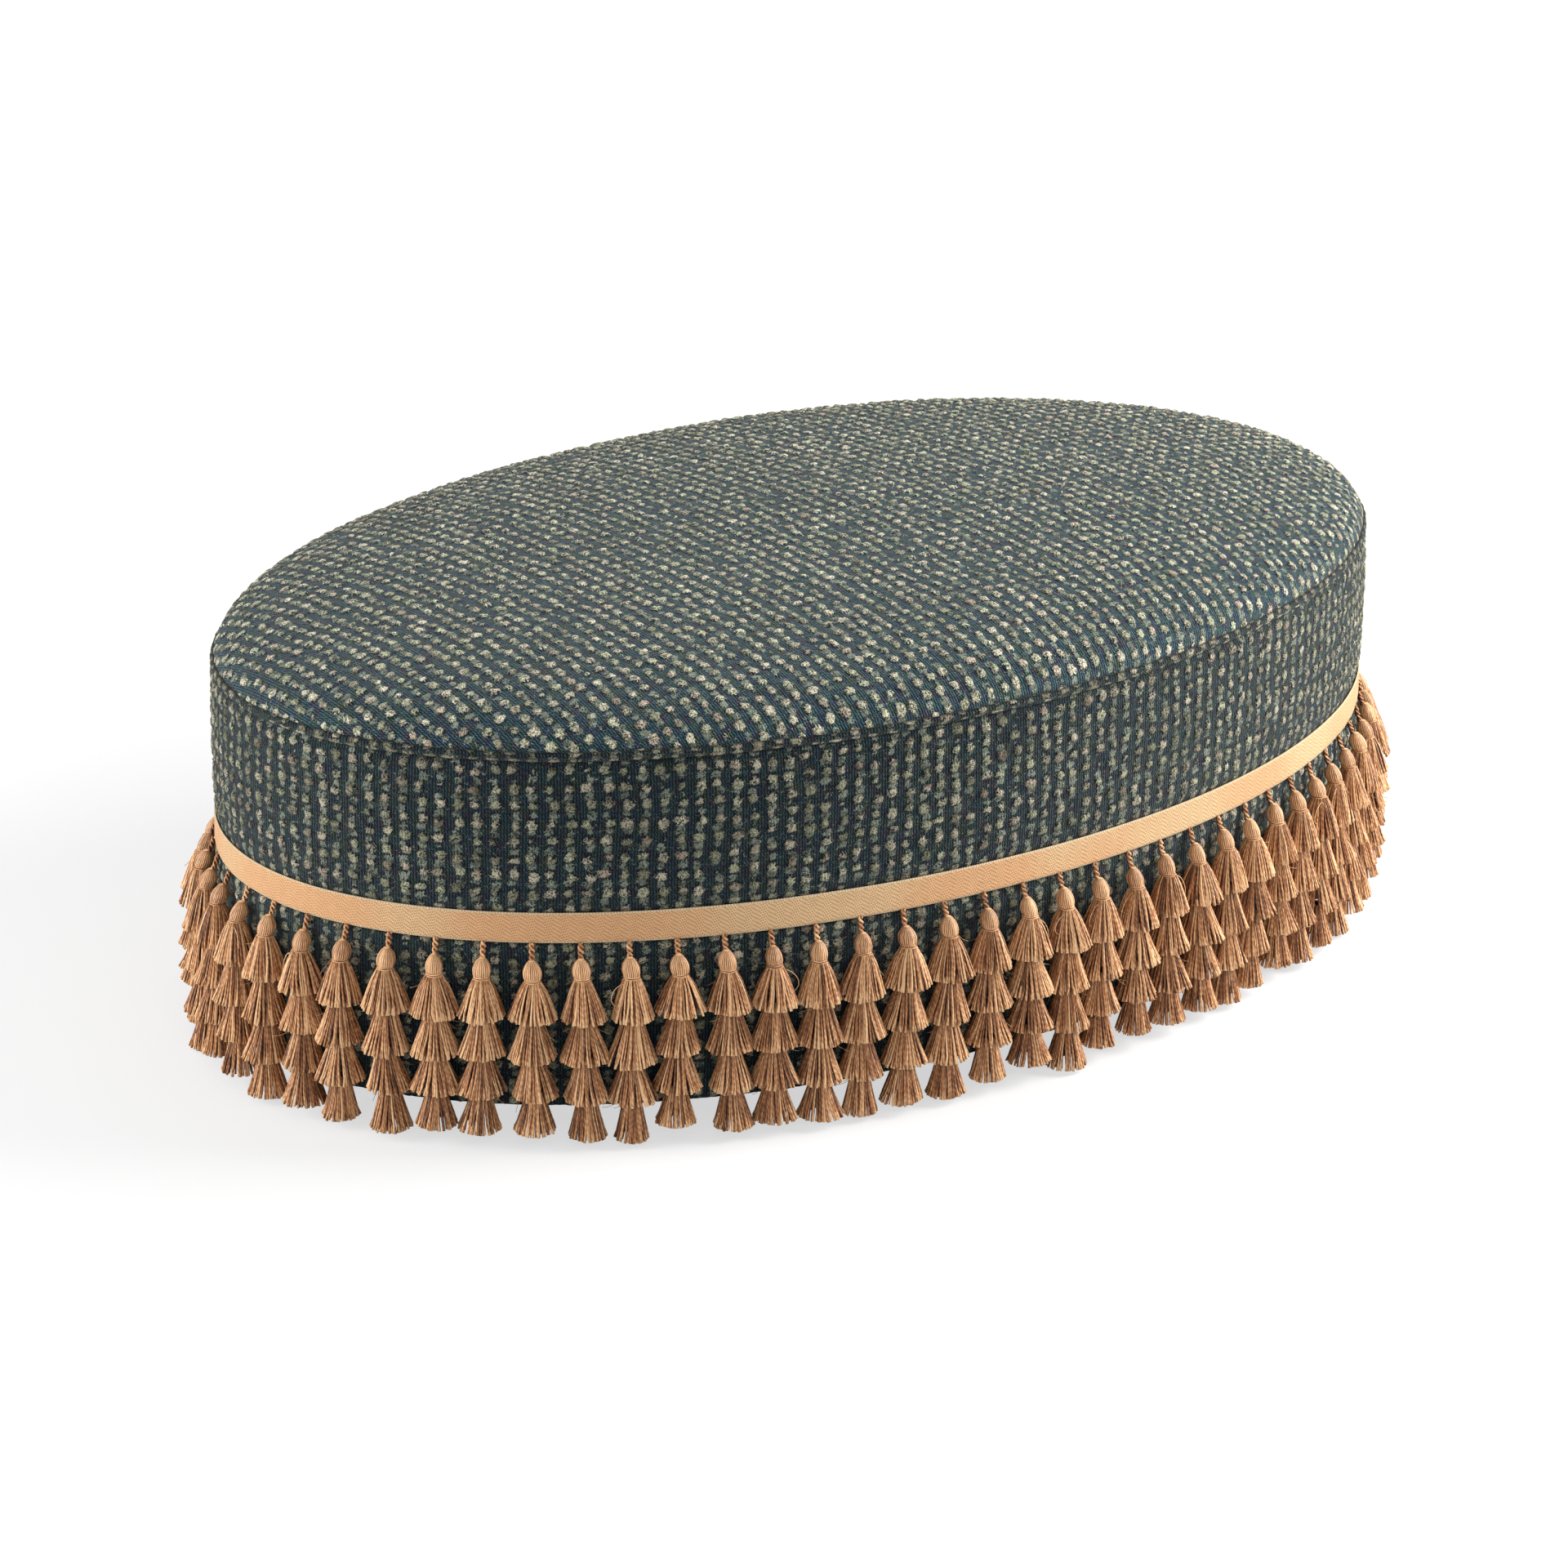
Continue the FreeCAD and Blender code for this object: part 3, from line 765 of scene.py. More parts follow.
@dataclass(frozen=True)
class Oval:
    """The oval of the fabric's outer face, walked by arc length from +X towards +Y."""

    half_length: float
    half_width: float
    steps: int = 20000

    def walk(self) -> tuple[np.ndarray, np.ndarray]:
        """Walk once round in even steps of the ellipse's own angle.

        Returns:
            The angle and the arc length at each step.
        """
        angle = np.linspace(0, TURN, self.steps + 1)
        x, y = self.half_length * np.cos(angle), self.half_width * np.sin(angle)
        arc = np.concatenate([[0.0], np.cumsum(np.hypot(np.diff(x), np.diff(y)))])
        return angle, arc

    @property
    def perimeter(self) -> float:
        """Length once round."""
        return float(self.walk()[1][-1])

    def at(self, arc: np.ndarray) -> tuple[np.ndarray, np.ndarray]:
        """Points and outward directions at arc lengths, each as x and y.

        Args:
            arc: Arc lengths from +X towards +Y.

        Returns:
            The points and the unit directions.
        """
        angle, length = self.walk()
        turned = np.interp(np.mod(arc, length[-1]), length, angle)
        points = np.stack([self.half_length * np.cos(turned), self.half_width * np.sin(turned)], -1)
        out = np.stack([np.cos(turned) / self.half_length, np.sin(turned) / self.half_width], -1)
        return points, out / np.linalg.norm(out, axis=-1, keepdims=True)

    def ring(self, columns: int) -> Arrays:
        """Even places once round from the middle of the back: arc lengths, points and directions."""
        arc = np.arange(columns) * self.perimeter / columns
        return (arc, *self.at(arc + 0.25 * self.perimeter))


def carry(points: np.ndarray, out: np.ndarray, depth: np.ndarray, level: np.ndarray) -> np.ndarray:
    """Places at a depth outwards from points of the oval and at a level, as rows x columns x 3."""
    return np.concatenate([points[None] + out[None] * depth[..., None], level[..., None]], axis=-1)


@dataclass(frozen=True)
class Relief:
    """What the weave does at each point: a height and the marks for the finish."""

    height: np.ndarray
    nub: np.ndarray
    tuft: np.ndarray
    tone: np.ndarray
    hue: np.ndarray
    nap: np.ndarray
    place: np.ndarray

    def marks(self, crease: np.ndarray) -> dict[str, np.ndarray]:
        """The marks by name, with the painted shade of each point in a crease."""
        return dict(zip(WEAVE_MARKS, (self.nub, self.tuft, self.tone, self.hue,
                                      np.broadcast_to(crease, self.nub.shape), self.nap)))


@dataclass(frozen=True)
class Tweed:
    """The chunky weave: one curled nub in each cell, a small tuft between two nubs."""

    column: float = 15.88
    row: float = 15.9
    nub_radius: float = 4.9
    nub_height: float = 2.2
    tuft_radius: float = 4.1
    tuft_height: float = 1.3
    ridge_height: float = 0.45
    roughness: float = 0.22
    lumps: float = 0.22
    side_scatter: float = 0.26
    end_scatter: float = 0.24
    # Painted light: lifts the colours of a lit piece and lowers those of a shaded one.
    painted_lift: float = 0.0
    drift: float = 1.5
    missing: float = 0.05
    tuft_missing: float = 0.12

    def relief(self, across: np.ndarray, along: np.ndarray) -> Relief:
        """Work out the weave at places on the flat cloth.

        A nub is a dome, the root of one minus the squared distance from the cell's own
        middle over the nub's radius, and both the middle and the radius are scattered.

        Args:
            across: Millimetres across the columns of nubs.
            along: Millimetres along the columns.

        Returns:
            The height in millimetres, the finish's marks and the drifted places.
        """
        across = across + self.drift * smooth_noise(across / 71, along / 53, Seed.DRIFT_ACROSS)
        along = along + self.drift * smooth_noise(across / 59, along / 83, Seed.DRIFT_ALONG)
        column = np.floor(across / self.column)
        lump = 1 + self.lumps * smooth_noise(across / 3.1, along / 3.1, Seed.LUMPS)

        def dome(shift: float, radius: float, seed: int, missing: float) -> Arrays:
            """One dome in each cell.

            Args:
                shift: Rows by which the cells are moved.
                radius: Middle radius of the domes.
                seed: First of five scatters.
                missing: Share of domes that are much smaller.

            Returns:
                Distance from the dome's middle over its radius, its height and the cell's row.
            """
            cell = np.floor(along / self.row + shift)
            own = [scatter(column, cell, seed + draw) for draw in range(5)]
            side = across - (column + 0.5 + self.side_scatter * (own[0] - 0.5)) * self.column
            end = along - (cell + 0.5 - shift + self.end_scatter * (own[1] - 0.5)) * self.row
            size = radius * (0.84 + 0.34 * own[2])
            size = np.where(own[3] < missing, 0.45 * size, size)
            stretch = 0.90 + 0.22 * own[4]
            reach = np.hypot(side / stretch, end * stretch) / size * lump
            return reach, np.sqrt(np.clip(1 - reach ** 2, 0, 1)), cell

        nub_reach, nub_dome, nub_cell = dome(0.0, self.nub_radius, Seed.NUBS, self.missing)
        tuft_reach, tuft_dome, tuft_cell = dome(0.5, self.tuft_radius, Seed.TUFTS, self.tuft_missing)
        ridge = self.ridge_height * np.cos(TURN * across / self.column)
        rough = self.roughness * smooth_noise(across / 2.9, along / 4.3, Seed.ROUGHNESS)
        height = self.nub_height * nub_dome + self.tuft_height * tuft_dome + ridge + rough
        return Relief(
            height=height - 0.5,
            nub=smooth_step(1.12, 0.62, nub_reach),
            tuft=smooth_step(1.15, 0.60, tuft_reach),
            # The tone is random for each nub, plus the piece's painted lift.
            tone=scatter(column, nub_cell, Seed.TONE) * 2 - 1 + self.painted_lift,
            hue=scatter(column, np.where(nub_reach < tuft_reach, nub_cell, tuft_cell + 977), Seed.HUE),
            nap=np.full_like(height, self.painted_lift),
            place=np.stack([across, along], axis=-1).reshape(-1, 2))


@dataclass
class Cover:
    """The tweed cover: crowned top, side band with its hem, and the strip in the seam."""

    oval: Oval
    low: float
    seam_low: float
    seam_high: float
    crown_top: float
    tape_low: float
    tape_high: float
    # Painted light: the top is a lit copy and the side a shaded copy of the same tweed.
    top_tweed: Tweed = Tweed(nub_height=3.0, painted_lift=1.0)
    side_tweed: Tweed = Tweed(nub_height=2.6, painted_lift=-0.35)
    spacing: float = 2.6
    coarse: int = 4
    shoulder_rise: float = 42.0
    shoulder_power: float = 9.5
    fabric: float = 2.4
    hem_width: float = 45.0
    hem_radius: float = 3.0
    belly: float = 1.6
    pinch: float = 1.3
    seam_pull: float = 1.3
    press: float = 7.0
    edge_from: float = 0.955
    # Painted shade from here out to the top's rim at the seam.
    crease_shade_from: float = 0.988
    top_swell: float = 1.5
    side_swell: float = 0.7
    first_nub: float = 5.0
    welt_sides: int = 18
    welt_depth: float = 2.6
    welt_sunk: float = 1.2
    welt_swell: float = 0.7

    def crown(self, share: np.ndarray) -> np.ndarray:
        """Height of the crown: the root of a shoulder's power, and a gentle square over it.

        Args:
            share: Shares of the way out.

        Returns:
            Heights from the floor.
        """
        dome = self.crown_top - self.seam_middle - self.shoulder_rise
        shoulder = np.sqrt(np.clip(1 - share ** self.shoulder_power, 0, 1))
        return self.seam_middle + self.shoulder_rise * shoulder + dome * (1 - share ** 2)

    @property
    def seam_middle(self) -> float:
        """Height of the middle of the seam."""
        return (self.seam_low + self.seam_high) / 2

    def top_place(self, p: np.ndarray, q: np.ndarray, inset: float) -> np.ndarray:
        """Places on the crown for a disc's x and y shares.

        The share from the middle is stretched so that even steps in it are even steps of
        arc along the crown's own outline, which keeps the cloth's grain even.

        Args:
            p: Shares along x.
            q: Shares along y.
            inset: How far the places lie inside the crown.

        Returns:
            The places.
        """
        radial = np.hypot(p, q)
        share = np.concatenate([np.linspace(0, 0.9, 200), 1 - 0.1 * np.linspace(1, 0, 400)[1:] ** 2.5])
        arc = np.concatenate([[0], np.cumsum(np.hypot(
            np.diff(share * self.oval.half_length), np.diff(self.crown(share))))])
        far = np.interp(radial * arc[-1], arc, share)
        height = np.maximum(self.crown(far), self.seam_high - 1.0) - inset
        side = np.where(radial > TINY, far / np.maximum(radial, TINY), share[1] * arc[-1] / arc[1])
        return np.stack([p * side * (self.oval.half_length - inset),
                         q * side * (self.oval.half_width - inset), height], axis=-1)

    def steps(self, length: float, step: int) -> int:
        """Steps of the grid in a length that is cut to whole coarse steps."""
        return int(round(length / self.spacing / self.coarse)) * self.coarse // step

    def top(self) -> bpy.types.Object:
        """The crowned panel: a fine disc of tweed over a coarse lining, joined at the rim.

        Returns:
            The panel.
        """
        reach = self.oval.half_length + self.shoulder_rise
        grids = []
        for step, inset in ((1, 0.0), (self.coarse, self.fabric)):
            columns = self.steps(2 * reach, step) + 1
            rows = int(round((columns - 1) * step * self.oval.half_width / self.oval.half_length
                             / self.coarse)) * self.coarse // step + 1
            p, q = disc(rows, columns)
            grids.append((rows, columns, p, q, self.top_place(p, q, inset)))
        (rows, columns, p, q, points), (lining_rows, lining_columns, _, _, lining) = grids
        across, along = p * reach, q * (self.oval.half_width + self.shoulder_rise)
        relief = self.top_tweed.relief(across, along)
        normal = np.cross(np.gradient(points, axis=1), np.gradient(points, axis=0))
        normal /= np.linalg.norm(normal, axis=2, keepdims=True) + TINY
        radial = np.hypot(p, q)
        edge = smooth_step(self.edge_from, 1.0, radial)[..., None]
        swell = self.top_swell * smooth_noise(across / 190, along / 150, Seed.TOP_SWELL)
        lift = (relief.height + swell)[..., None] * (1 - 0.75 * edge) - self.seam_pull * edge ** 2
        quads = grid_corners(rows, columns)
        surface = Surface()
        # Painted shade at the top's rim, where it tucks into the seam.
        surface.add(points + normal * lift, [quads], [relief.place[quads]],
                    **relief.marks(smooth_step(self.crease_shade_from, 1.0, radial)))
        surface.add(lining, [grid_corners(lining_rows, lining_columns)[:, ::-1]], [None],
                    **dict.fromkeys(WEAVE_MARKS, 0.0))
        surface.join(stitch(rim(rows, columns), rim(lining_rows, lining_columns) + rows * columns,
                            self.coarse))
        return surface.build("seat_top", outward=True)

    def side_path(self) -> np.ndarray:
        """Section of the side band, from the hem up to the seam.

        Returns:
            Inset and height of each point.
        """
        turn = np.linspace(0, math.pi / 2, 5)
        corner = np.stack([self.hem_radius * (1 - np.sin(turn)),
                           self.low + self.hem_radius * (1 - np.cos(turn))], -1)
        flat = [[self.hem_width, self.low]]
        wall = [[0.0, self.seam_low - 3.0], [0.5, self.seam_low], [1.6, self.seam_low + 2.0]]
        return np.concatenate([flat, corner, wall])

    def side_lift(self, arc: np.ndarray, along: np.ndarray, away: np.ndarray,
                  height: np.ndarray) -> tuple[Relief, np.ndarray, np.ndarray]:
        """How far the side's tweed stands out, and what it leaves for the finish.

        The belly is a power of a sine between the tape and the seam. The tape and the seam
        press the weave flat and pull the cloth in.

        Args:
            arc: Arc length of each column.
            along: Length along the section of each row.
            away: Inset of each row.
            height: Height of each row.

        Returns:
            The weave, the lift in millimetres and the painted shade of each row in a crease.
        """
        across, up = np.meshgrid(arc, along, indexing="xy")
        relief = self.side_tweed.relief(across, up + self.first_nub)
        level = height[:, None]
        bulge = self.belly * np.sin(np.pi * np.clip(
            (level - self.tape_high) / (self.seam_low - self.tape_high), 0, 1)) ** 0.7
        tape = smooth_step(self.tape_low - self.press, self.tape_low, level) \
            * smooth_step(self.tape_high + self.press, self.tape_high, level)
        end = smooth_step(self.seam_low - self.press, self.seam_low, level)
        under = smooth_step(self.hem_radius, 1.0, away)[:, None]
        lift = (relief.height + bulge) * (1 - 0.85 * tape) * (1 - 0.6 * end) * under
        lift = lift - self.pinch * tape - self.seam_pull * end
        swell = self.side_swell * smooth_noise(across / 160, up / 120, Seed.SIDE_SWELL)
        lift = lift + swell * (1 - tape) * under * (1 - end)
        by_tape = np.minimum(np.abs(level - self.tape_low), np.abs(level - self.tape_high))
        # Painted shade in the crease under the seam and beside the tape's edges.
        crease = np.maximum(smooth_step(self.seam_low - 3.0, self.seam_low, level),
                            0.6 * smooth_step(3.2, 0.8, by_tape))
        return relief, lift, crease

    def side(self) -> bpy.types.Object:
        """The side band: its section carried round the oval, fine outside and coarse inside.

        Returns:
            The band.
        """
        path = self.side_path()
        length = np.concatenate([[0], np.cumsum(np.linalg.norm(np.diff(path, axis=0), axis=1))])
        surface = Surface()
        loops = []
        for step, inset in ((1, 0.0), (self.coarse, self.fabric)):
            rows, columns = self.steps(length[-1], step) + 1, self.steps(self.oval.perimeter, step)
            arc, points, out = self.oval.ring(columns)
            along = np.linspace(0, length[-1], rows)
            away, height = (np.interp(along, length, part) for part in path.T)
            quads = grid_corners(rows, columns, wrap=True)
            if step == 1:
                relief, lift, crease = self.side_lift(arc, along, away, height)
                marks, places = relief.marks(crease), wrapped(relief.place, quads, self.oval.perimeter)
            else:
                lift, marks, places = np.zeros((rows, columns)), dict.fromkeys(WEAVE_MARKS, 0.0), None
                quads = quads[:, ::-1]
            level = (height + np.where(away > self.hem_radius, inset, 0.0))[:, None]
            numbers = np.arange(rows * columns).reshape(rows, columns) + surface.count
            loops.append((numbers[0], numbers[-1]))
            surface.add(carry(points, out, lift - inset - away[:, None], np.broadcast_to(level, lift.shape)),
                        [quads], [places], **marks)
        for fine, rough in zip(*loops):
            surface.join(stitch(fine, rough, self.coarse))
        return surface.build("side_band", outward=True)

    def welt(self) -> bpy.types.Object:
        """The folded strip in the seam: a flattened round section with squashed nubs.

        Returns:
            The strip.
        """
        columns = int(round(self.oval.perimeter / self.spacing))
        arc, points, out = self.oval.ring(columns)
        turn = np.arange(self.welt_sides) * TURN / self.welt_sides
        half = (self.seam_high - self.seam_low) / 2 + self.welt_swell
        across, round_mm = np.meshgrid(arc, turn / TURN * 3.0 * half, indexing="xy")
        relief = self.side_tweed.relief(across * 0.9 + 900, round_mm * 1.7 + 3.0)
        wander = 0.5 * smooth_noise(arc / 45, np.zeros_like(arc), Seed.SEAM_WANDER)
        depth = self.welt_depth * np.cos(turn)[:, None] * (1 + 0.16 * relief.height) - self.welt_sunk
        level = self.seam_middle + half * np.sin(turn)[:, None] * (1 + 0.04 * relief.height) + wander[None]
        # Painted shade along the strip's upper and lower creases.
        crease = smooth_step(0.70, 1.0, np.abs(np.sin(turn)))[:, None]
        quads = grid_corners(self.welt_sides, columns, wrap=True, close=True)
        surface = Surface()
        surface.add(carry(points, out, depth, level), [quads],
                    [wrapped(relief.place, quads, self.oval.perimeter)], **relief.marks(crease))
        return surface.build("seam_strip", outward=True)

    def dress(self, tweed: bpy.types.Material) -> None:
        """Make the three pieces, dress them and put them on the stool.

        Args:
            tweed: Their material.
        """
        for make, node, fill in ((self.top, "cover_top", 0.8), (self.side, "cover_boxing", 0.9)):
            piece = make()
            put_on(piece, tweed, "stool", node)
        put_on(self.welt(), tweed, "stool", "seam_welt")


@dataclass
class HeaderTape:
    """The woven tape round the stool that the tassels hang from."""

    oval: Oval
    low: float
    high: float
    thickness: float = 1.6
    spacing: float = 3.4
    selvedge: float = 0.25
    back: float = 0.12
    rows: int = 13

    def section(self) -> Arrays:
        """Closed section of the tape.

        Returns:
            Distance from the fabric and height of each point.
        """
        level = np.linspace(self.low, self.high, self.rows)
        edge = smooth_step(2.2, 0.6, np.minimum(level - self.low, self.high - level))
        front = np.full(self.rows, self.thickness) + self.selvedge * edge * (edge < 1)
        away = np.concatenate([front - 0.35 * (edge > 0.99), np.full(self.rows, self.back)])
        return away, np.concatenate([level, level[::-1]])

    def build(self) -> bpy.types.Object:
        """The tape, with a slight waviness along both edges and over its front.

        Returns:
            The tape.
        """
        columns = int(round(self.oval.perimeter / self.spacing))
        arc, points, out = self.oval.ring(columns)
        away, height = self.section()
        wave = 0.22 * smooth_noise(arc / 60, np.zeros_like(arc), Seed.TAPE_EDGE)
        ripple = 0.14 * smooth_noise(arc[None] / 25, height[:, None] / 13, Seed.TAPE_RIPPLE)
        depth = away[:, None] + ripple * (away > self.thickness / 2)[:, None]
        quads = grid_corners(len(away), columns, wrap=True, close=True)
        across, up = np.meshgrid(arc, height - self.low, indexing="xy")
        uv = np.stack([across, up], -1).reshape(-1, 2)
        surface = Surface()
        surface.add(carry(points, out, depth, height[:, None] + wave[None]), [quads],
                    [wrapped(uv, quads, self.oval.perimeter)])
        return surface.build("woven_tape", outward=True)

    def dress(self, material: bpy.types.Material) -> None:
        """Make the tape and put it on the stool."""
        put_on(self.build(), material, "stool", "header_tape")


@dataclass
class Fringe:
    """Tiered tassels, hung in the groups that swing together.

    A tassel is worked out against a flat wall: out is the distance from the fabric,
    side runs along the tape and depth is measured down from the tape's lower edge.
    """

    oval: Oval
    tape_low: float
    counts: tuple[int, ...] = (3, 3, 4, 4, 5)
    loop_length: float = 11.8
    loop_out: float = 2.4
    loop_points: int = 15
    loop_turns: float = 1.6
    loop_tones: tuple[float, float] = (0.46, 0.56)
    ply_radius: float = 1.25
    head_radius: float = 8.0
    head_height: float = 15.5
    head_out: float = 9.4
    head_tone: float = 0.86
    skirt_out: float = 14.5
    neck_radius: float = 6.9
    wrap_pitch: float = 1.6
    wraps: int = 3
    wrap_depth: float = 0.55
    laid_strands: int = 20
    laid_depth: float = 0.18
    head_yarns: int = 27
    tier_top: float = 7.4
    hems: tuple[float, ...] = (20.2, 20.8, 20.4, 17.6)
    drops: tuple[float, ...] = (35.5, 38.0, 36.0, 35.0)
    overlap: float = 3.5
    yarn_radius: float = 0.92
    outer_yarns: int = 60
    inner_yarns: int = 16
    yarn_tone: float = 0.50
    tone_spread: float = 0.23
    # Painted shade: lower tiers and inner yarns are darkened by these amounts.
    tier_shade: float = 0.05
    inner_shade: float = 0.30
    stray_count: int = 5
    stray_radius: float = 0.24
    thread_share: float = 0.45
    thread_radius: float = 0.42
    back_clear: float = 1.6
    floor_clear: float = 2.0
    longest: float = 180.0
    yarn_steps: np.ndarray = field(default_factory=lambda: np.array([0.0, 0.26, 0.55, 0.82, 1.0]))
    yarn_swell: np.ndarray = field(default_factory=lambda: np.array([0.75, 0.93, 1.06, 1.22, 1.36]))

    def stations(self) -> list[np.ndarray]:
        """Places of the tassels, at an even pitch from the +X end round.

        Returns:
            Arc lengths, group by group.
        """
        sizes = (self.counts + self.counts[::-1]) * 2
        pitch = self.oval.perimeter / sum(sizes)
        places = (np.arange(sum(sizes)) + 0.5) * pitch
        return np.split(places, np.cumsum(sizes)[:-1])

    def to_world(self, local: np.ndarray, point: np.ndarray, out: np.ndarray) -> np.ndarray:
        """Turn out, side and depth into x, y and z at one place on the oval.

        Args:
            local: Places as out, side and depth.
            point: The place on the oval.
            out: The outward direction there.

        Returns:
            Places as x, y and z.
        """
        side = np.array([-out[1], out[0]])
        flat = point + local[..., 0:1] * out + local[..., 1:2] * side
        return np.concatenate([flat, self.tape_low - local[..., 2:3]], axis=-1)

    def yarns(self, rng: np.random.Generator, tier: int, start: np.ndarray, heading: np.ndarray,
              drop: float, hem: float, count: int, inner: bool) -> Arrays:
        """Yarns of one tier as paths: the radius grows as a power of the way down.

        Args:
            rng: Source of the tassel's own scatter.
            tier: Number of the tier from the top, from 0.
            start: Out, side and depth of the middle of the tier's top.
            heading: Slant of the tier's middle line, as out and side for each unit down.
            drop: Depth of the tier.
            hem: Radius at the hem.
            count: How many yarns.
            inner: Whether they fill the tier from inside.

        Returns:
            Paths as yarns x points x 3, in out, side and depth, and each yarn's angle.
        """
        way = self.yarn_steps
        angle = (np.arange(count) + rng.uniform(-0.42, 0.42, count)) * TURN / count
        angle = angle + 0.08 * np.sin(angle * 3 + rng.uniform(0, TURN))
        top = (self.neck_radius if tier == 0 else self.tier_top) * rng.uniform(0.88, 1.0, count)
        reach = hem * rng.uniform(0.94, 1.02, count)
        reach = reach * (1 + 0.05 * np.sin(angle * 2 + rng.uniform(0, TURN)))
        if inner:
            top, reach = top * 0.78, reach * rng.uniform(0.72, 0.90, count)
        fall = drop * rng.uniform(0.975, 1.01, count) * (0.985 if inner else 1.0)
        swing = rng.normal(0, 0.05, count)
        power = rng.uniform(0.72, 0.95, count) + (0.35 if tier else 0.0)
        radius = top[:, None] + (reach - top)[:, None] * way[None] ** power[:, None]
        radius[:, -1] += rng.normal(0, 0.45, count)
        theta = angle[:, None] + swing[:, None] * way[None] ** 2 \
            + 0.03 * np.sin(way[None] * rng.uniform(3, 7, count)[:, None] + angle[:, None] * 5)
        theta[:, -1] += rng.normal(0, 0.03, count)
        depth = start[2] + fall[:, None] * way[None]
        out = start[0] + heading[0] * (depth - start[2]) + radius * np.cos(theta)
        side = start[1] + heading[1] * (depth - start[2]) + radius * np.sin(theta)
        near = self.back_clear + 1.4 * rng.uniform(0, 1, count)[:, None]
        out = np.where(out < near, near + 0.06 * (out - near), out)
        depth = np.minimum(depth, self.tape_low - self.floor_clear - 0.6 * rng.uniform(0, 1, count)[:, None])
        return np.stack([out, side, depth], axis=-1), angle

    def add_tubes(self, surface: Surface, paths: np.ndarray, radii: np.ndarray, sides: int,
                  point: np.ndarray, out: np.ndarray, tone: np.ndarray, tip: np.ndarray,
                  angle: Union[np.ndarray, float] = 0.0) -> None:
        """Add yarns given in the tassel's own places.

        Args:
            surface: Where they go.
            paths: Yarn paths in out, side and depth.
            radii: Radius at each point of each path.
            sides: Corners of a yarn's section.
            point: The tassel's place on the oval.
            out: The outward direction there.
            tone: Tone of each yarn.
            tip: How much each point along a yarn is a frayed tip.
            angle: Angle round the tassel that each yarn's outer side, the side with the painted highlight,
                faces.
        """
        angle = np.broadcast_to(angle, len(paths))
        heading = math.atan2(out[1], out[0]) + angle
        facing = np.stack([np.cos(heading), np.sin(heading), np.zeros(len(paths))], axis=-1)
        points, quads, caps, uv = tubes(self.to_world(paths, point, out), radii, sides, facing)
        shape = points.shape[:3]
        surface.add(points, [quads, caps], [uv, None],
                    tone=np.broadcast_to(tone[:, None, None], shape),
                    tip=np.broadcast_to(tip[None, :, None], shape))

    def lathe(self, surface: Surface, point: np.ndarray, out: np.ndarray, middle: np.ndarray,
              radius: np.ndarray, ridge: np.ndarray, columns: int, uv: np.ndarray, tone: float) -> None:
        """Add a closed turned shape of the tassel, with a ridge height for each column.

        Args:
            surface: Where it goes.
            point: The tassel's place on the oval.
            out: The outward direction there.
            middle: Out, side and depth of the middle of each ring.
            radius: Radius of each ring.
            ridge: Height added at each ring and column.
            columns: Points round a ring.
            uv: UV place of each ring and column.
            tone: Tone of the whole.
        """
        turn = np.arange(columns) * TURN / columns
        fat = radius[:, None] + ridge
        reach_out = np.maximum(middle[:, 0:1] + fat * np.cos(turn)[None], self.back_clear * 0.5)
        local = np.stack([reach_out, middle[:, 1:2] + fat * np.sin(turn)[None],
                          np.broadcast_to(middle[:, 2:3], fat.shape)], axis=-1)
        quads = grid_corners(len(radius), columns, wrap=True)[:, ::-1]
        ring = np.arange(columns)
        caps = np.stack([ring, (len(radius) - 1) * columns + ring[::-1]])
        places = uv.reshape(-1, 2)[quads]
        crossing = (quads % columns).max(axis=1) - (quads % columns).min(axis=1) > 1
        first = (quads % columns) == 0
        places += (crossing[:, None] & first)[..., None] * (uv[0, 1] - uv[0, 0]) * columns
        surface.add(self.to_world(local, point, out), [quads, caps], [places, None], tone=tone, tip=0.0)

    def head(self, surface: Surface, rng: np.random.Generator, point: np.ndarray, out: np.ndarray,
             lean: float, top: float) -> None:
        """The bound head: laid strands over a pear shape, and a neck wrapped three times.

        The pear's radius is the 0.7 power of a sine over the part of the half turn from
        0.06 to 0.70. The strands are ridges round it and each wrap is half a sine.

        Args:
            surface: Where it goes.
            rng: Source of the tassel's own scatter.
            point: The tassel's place on the oval.
            out: The outward direction there.
            lean: How far the tassel hangs to the side.
            top: Depth of the head's top.
        """
        way = np.array([0.0, 0.03, 0.10, 0.22, 0.38, 0.55, 0.72, 0.88, 1.0])
        shape = np.sin(math.pi * (0.06 + 0.64 * way)) ** 0.7
        fat = self.head_radius * rng.uniform(0.93, 1.04) * shape
        columns = self.laid_strands * 2
        turn = np.arange(columns) * TURN / columns
        ridge = self.laid_depth * np.cos(turn * self.laid_strands)[None] * shape[:, None]
        ridge = ridge * rng.uniform(0.4, 1.7, columns)
        ridge = ridge + 0.25 * np.sin(turn * 3 + rng.uniform(0, TURN))[None] * shape[:, None]

        def middle(share: np.ndarray) -> np.ndarray:
            """Middles of rings at shares of the way down the head."""
            away = self.head_out + (self.skirt_out - self.head_out) * np.clip(share, 0, 1.4) ** 1.6 * 0.75
            return np.stack([away, lean * share, top + share * self.head_height], axis=-1)

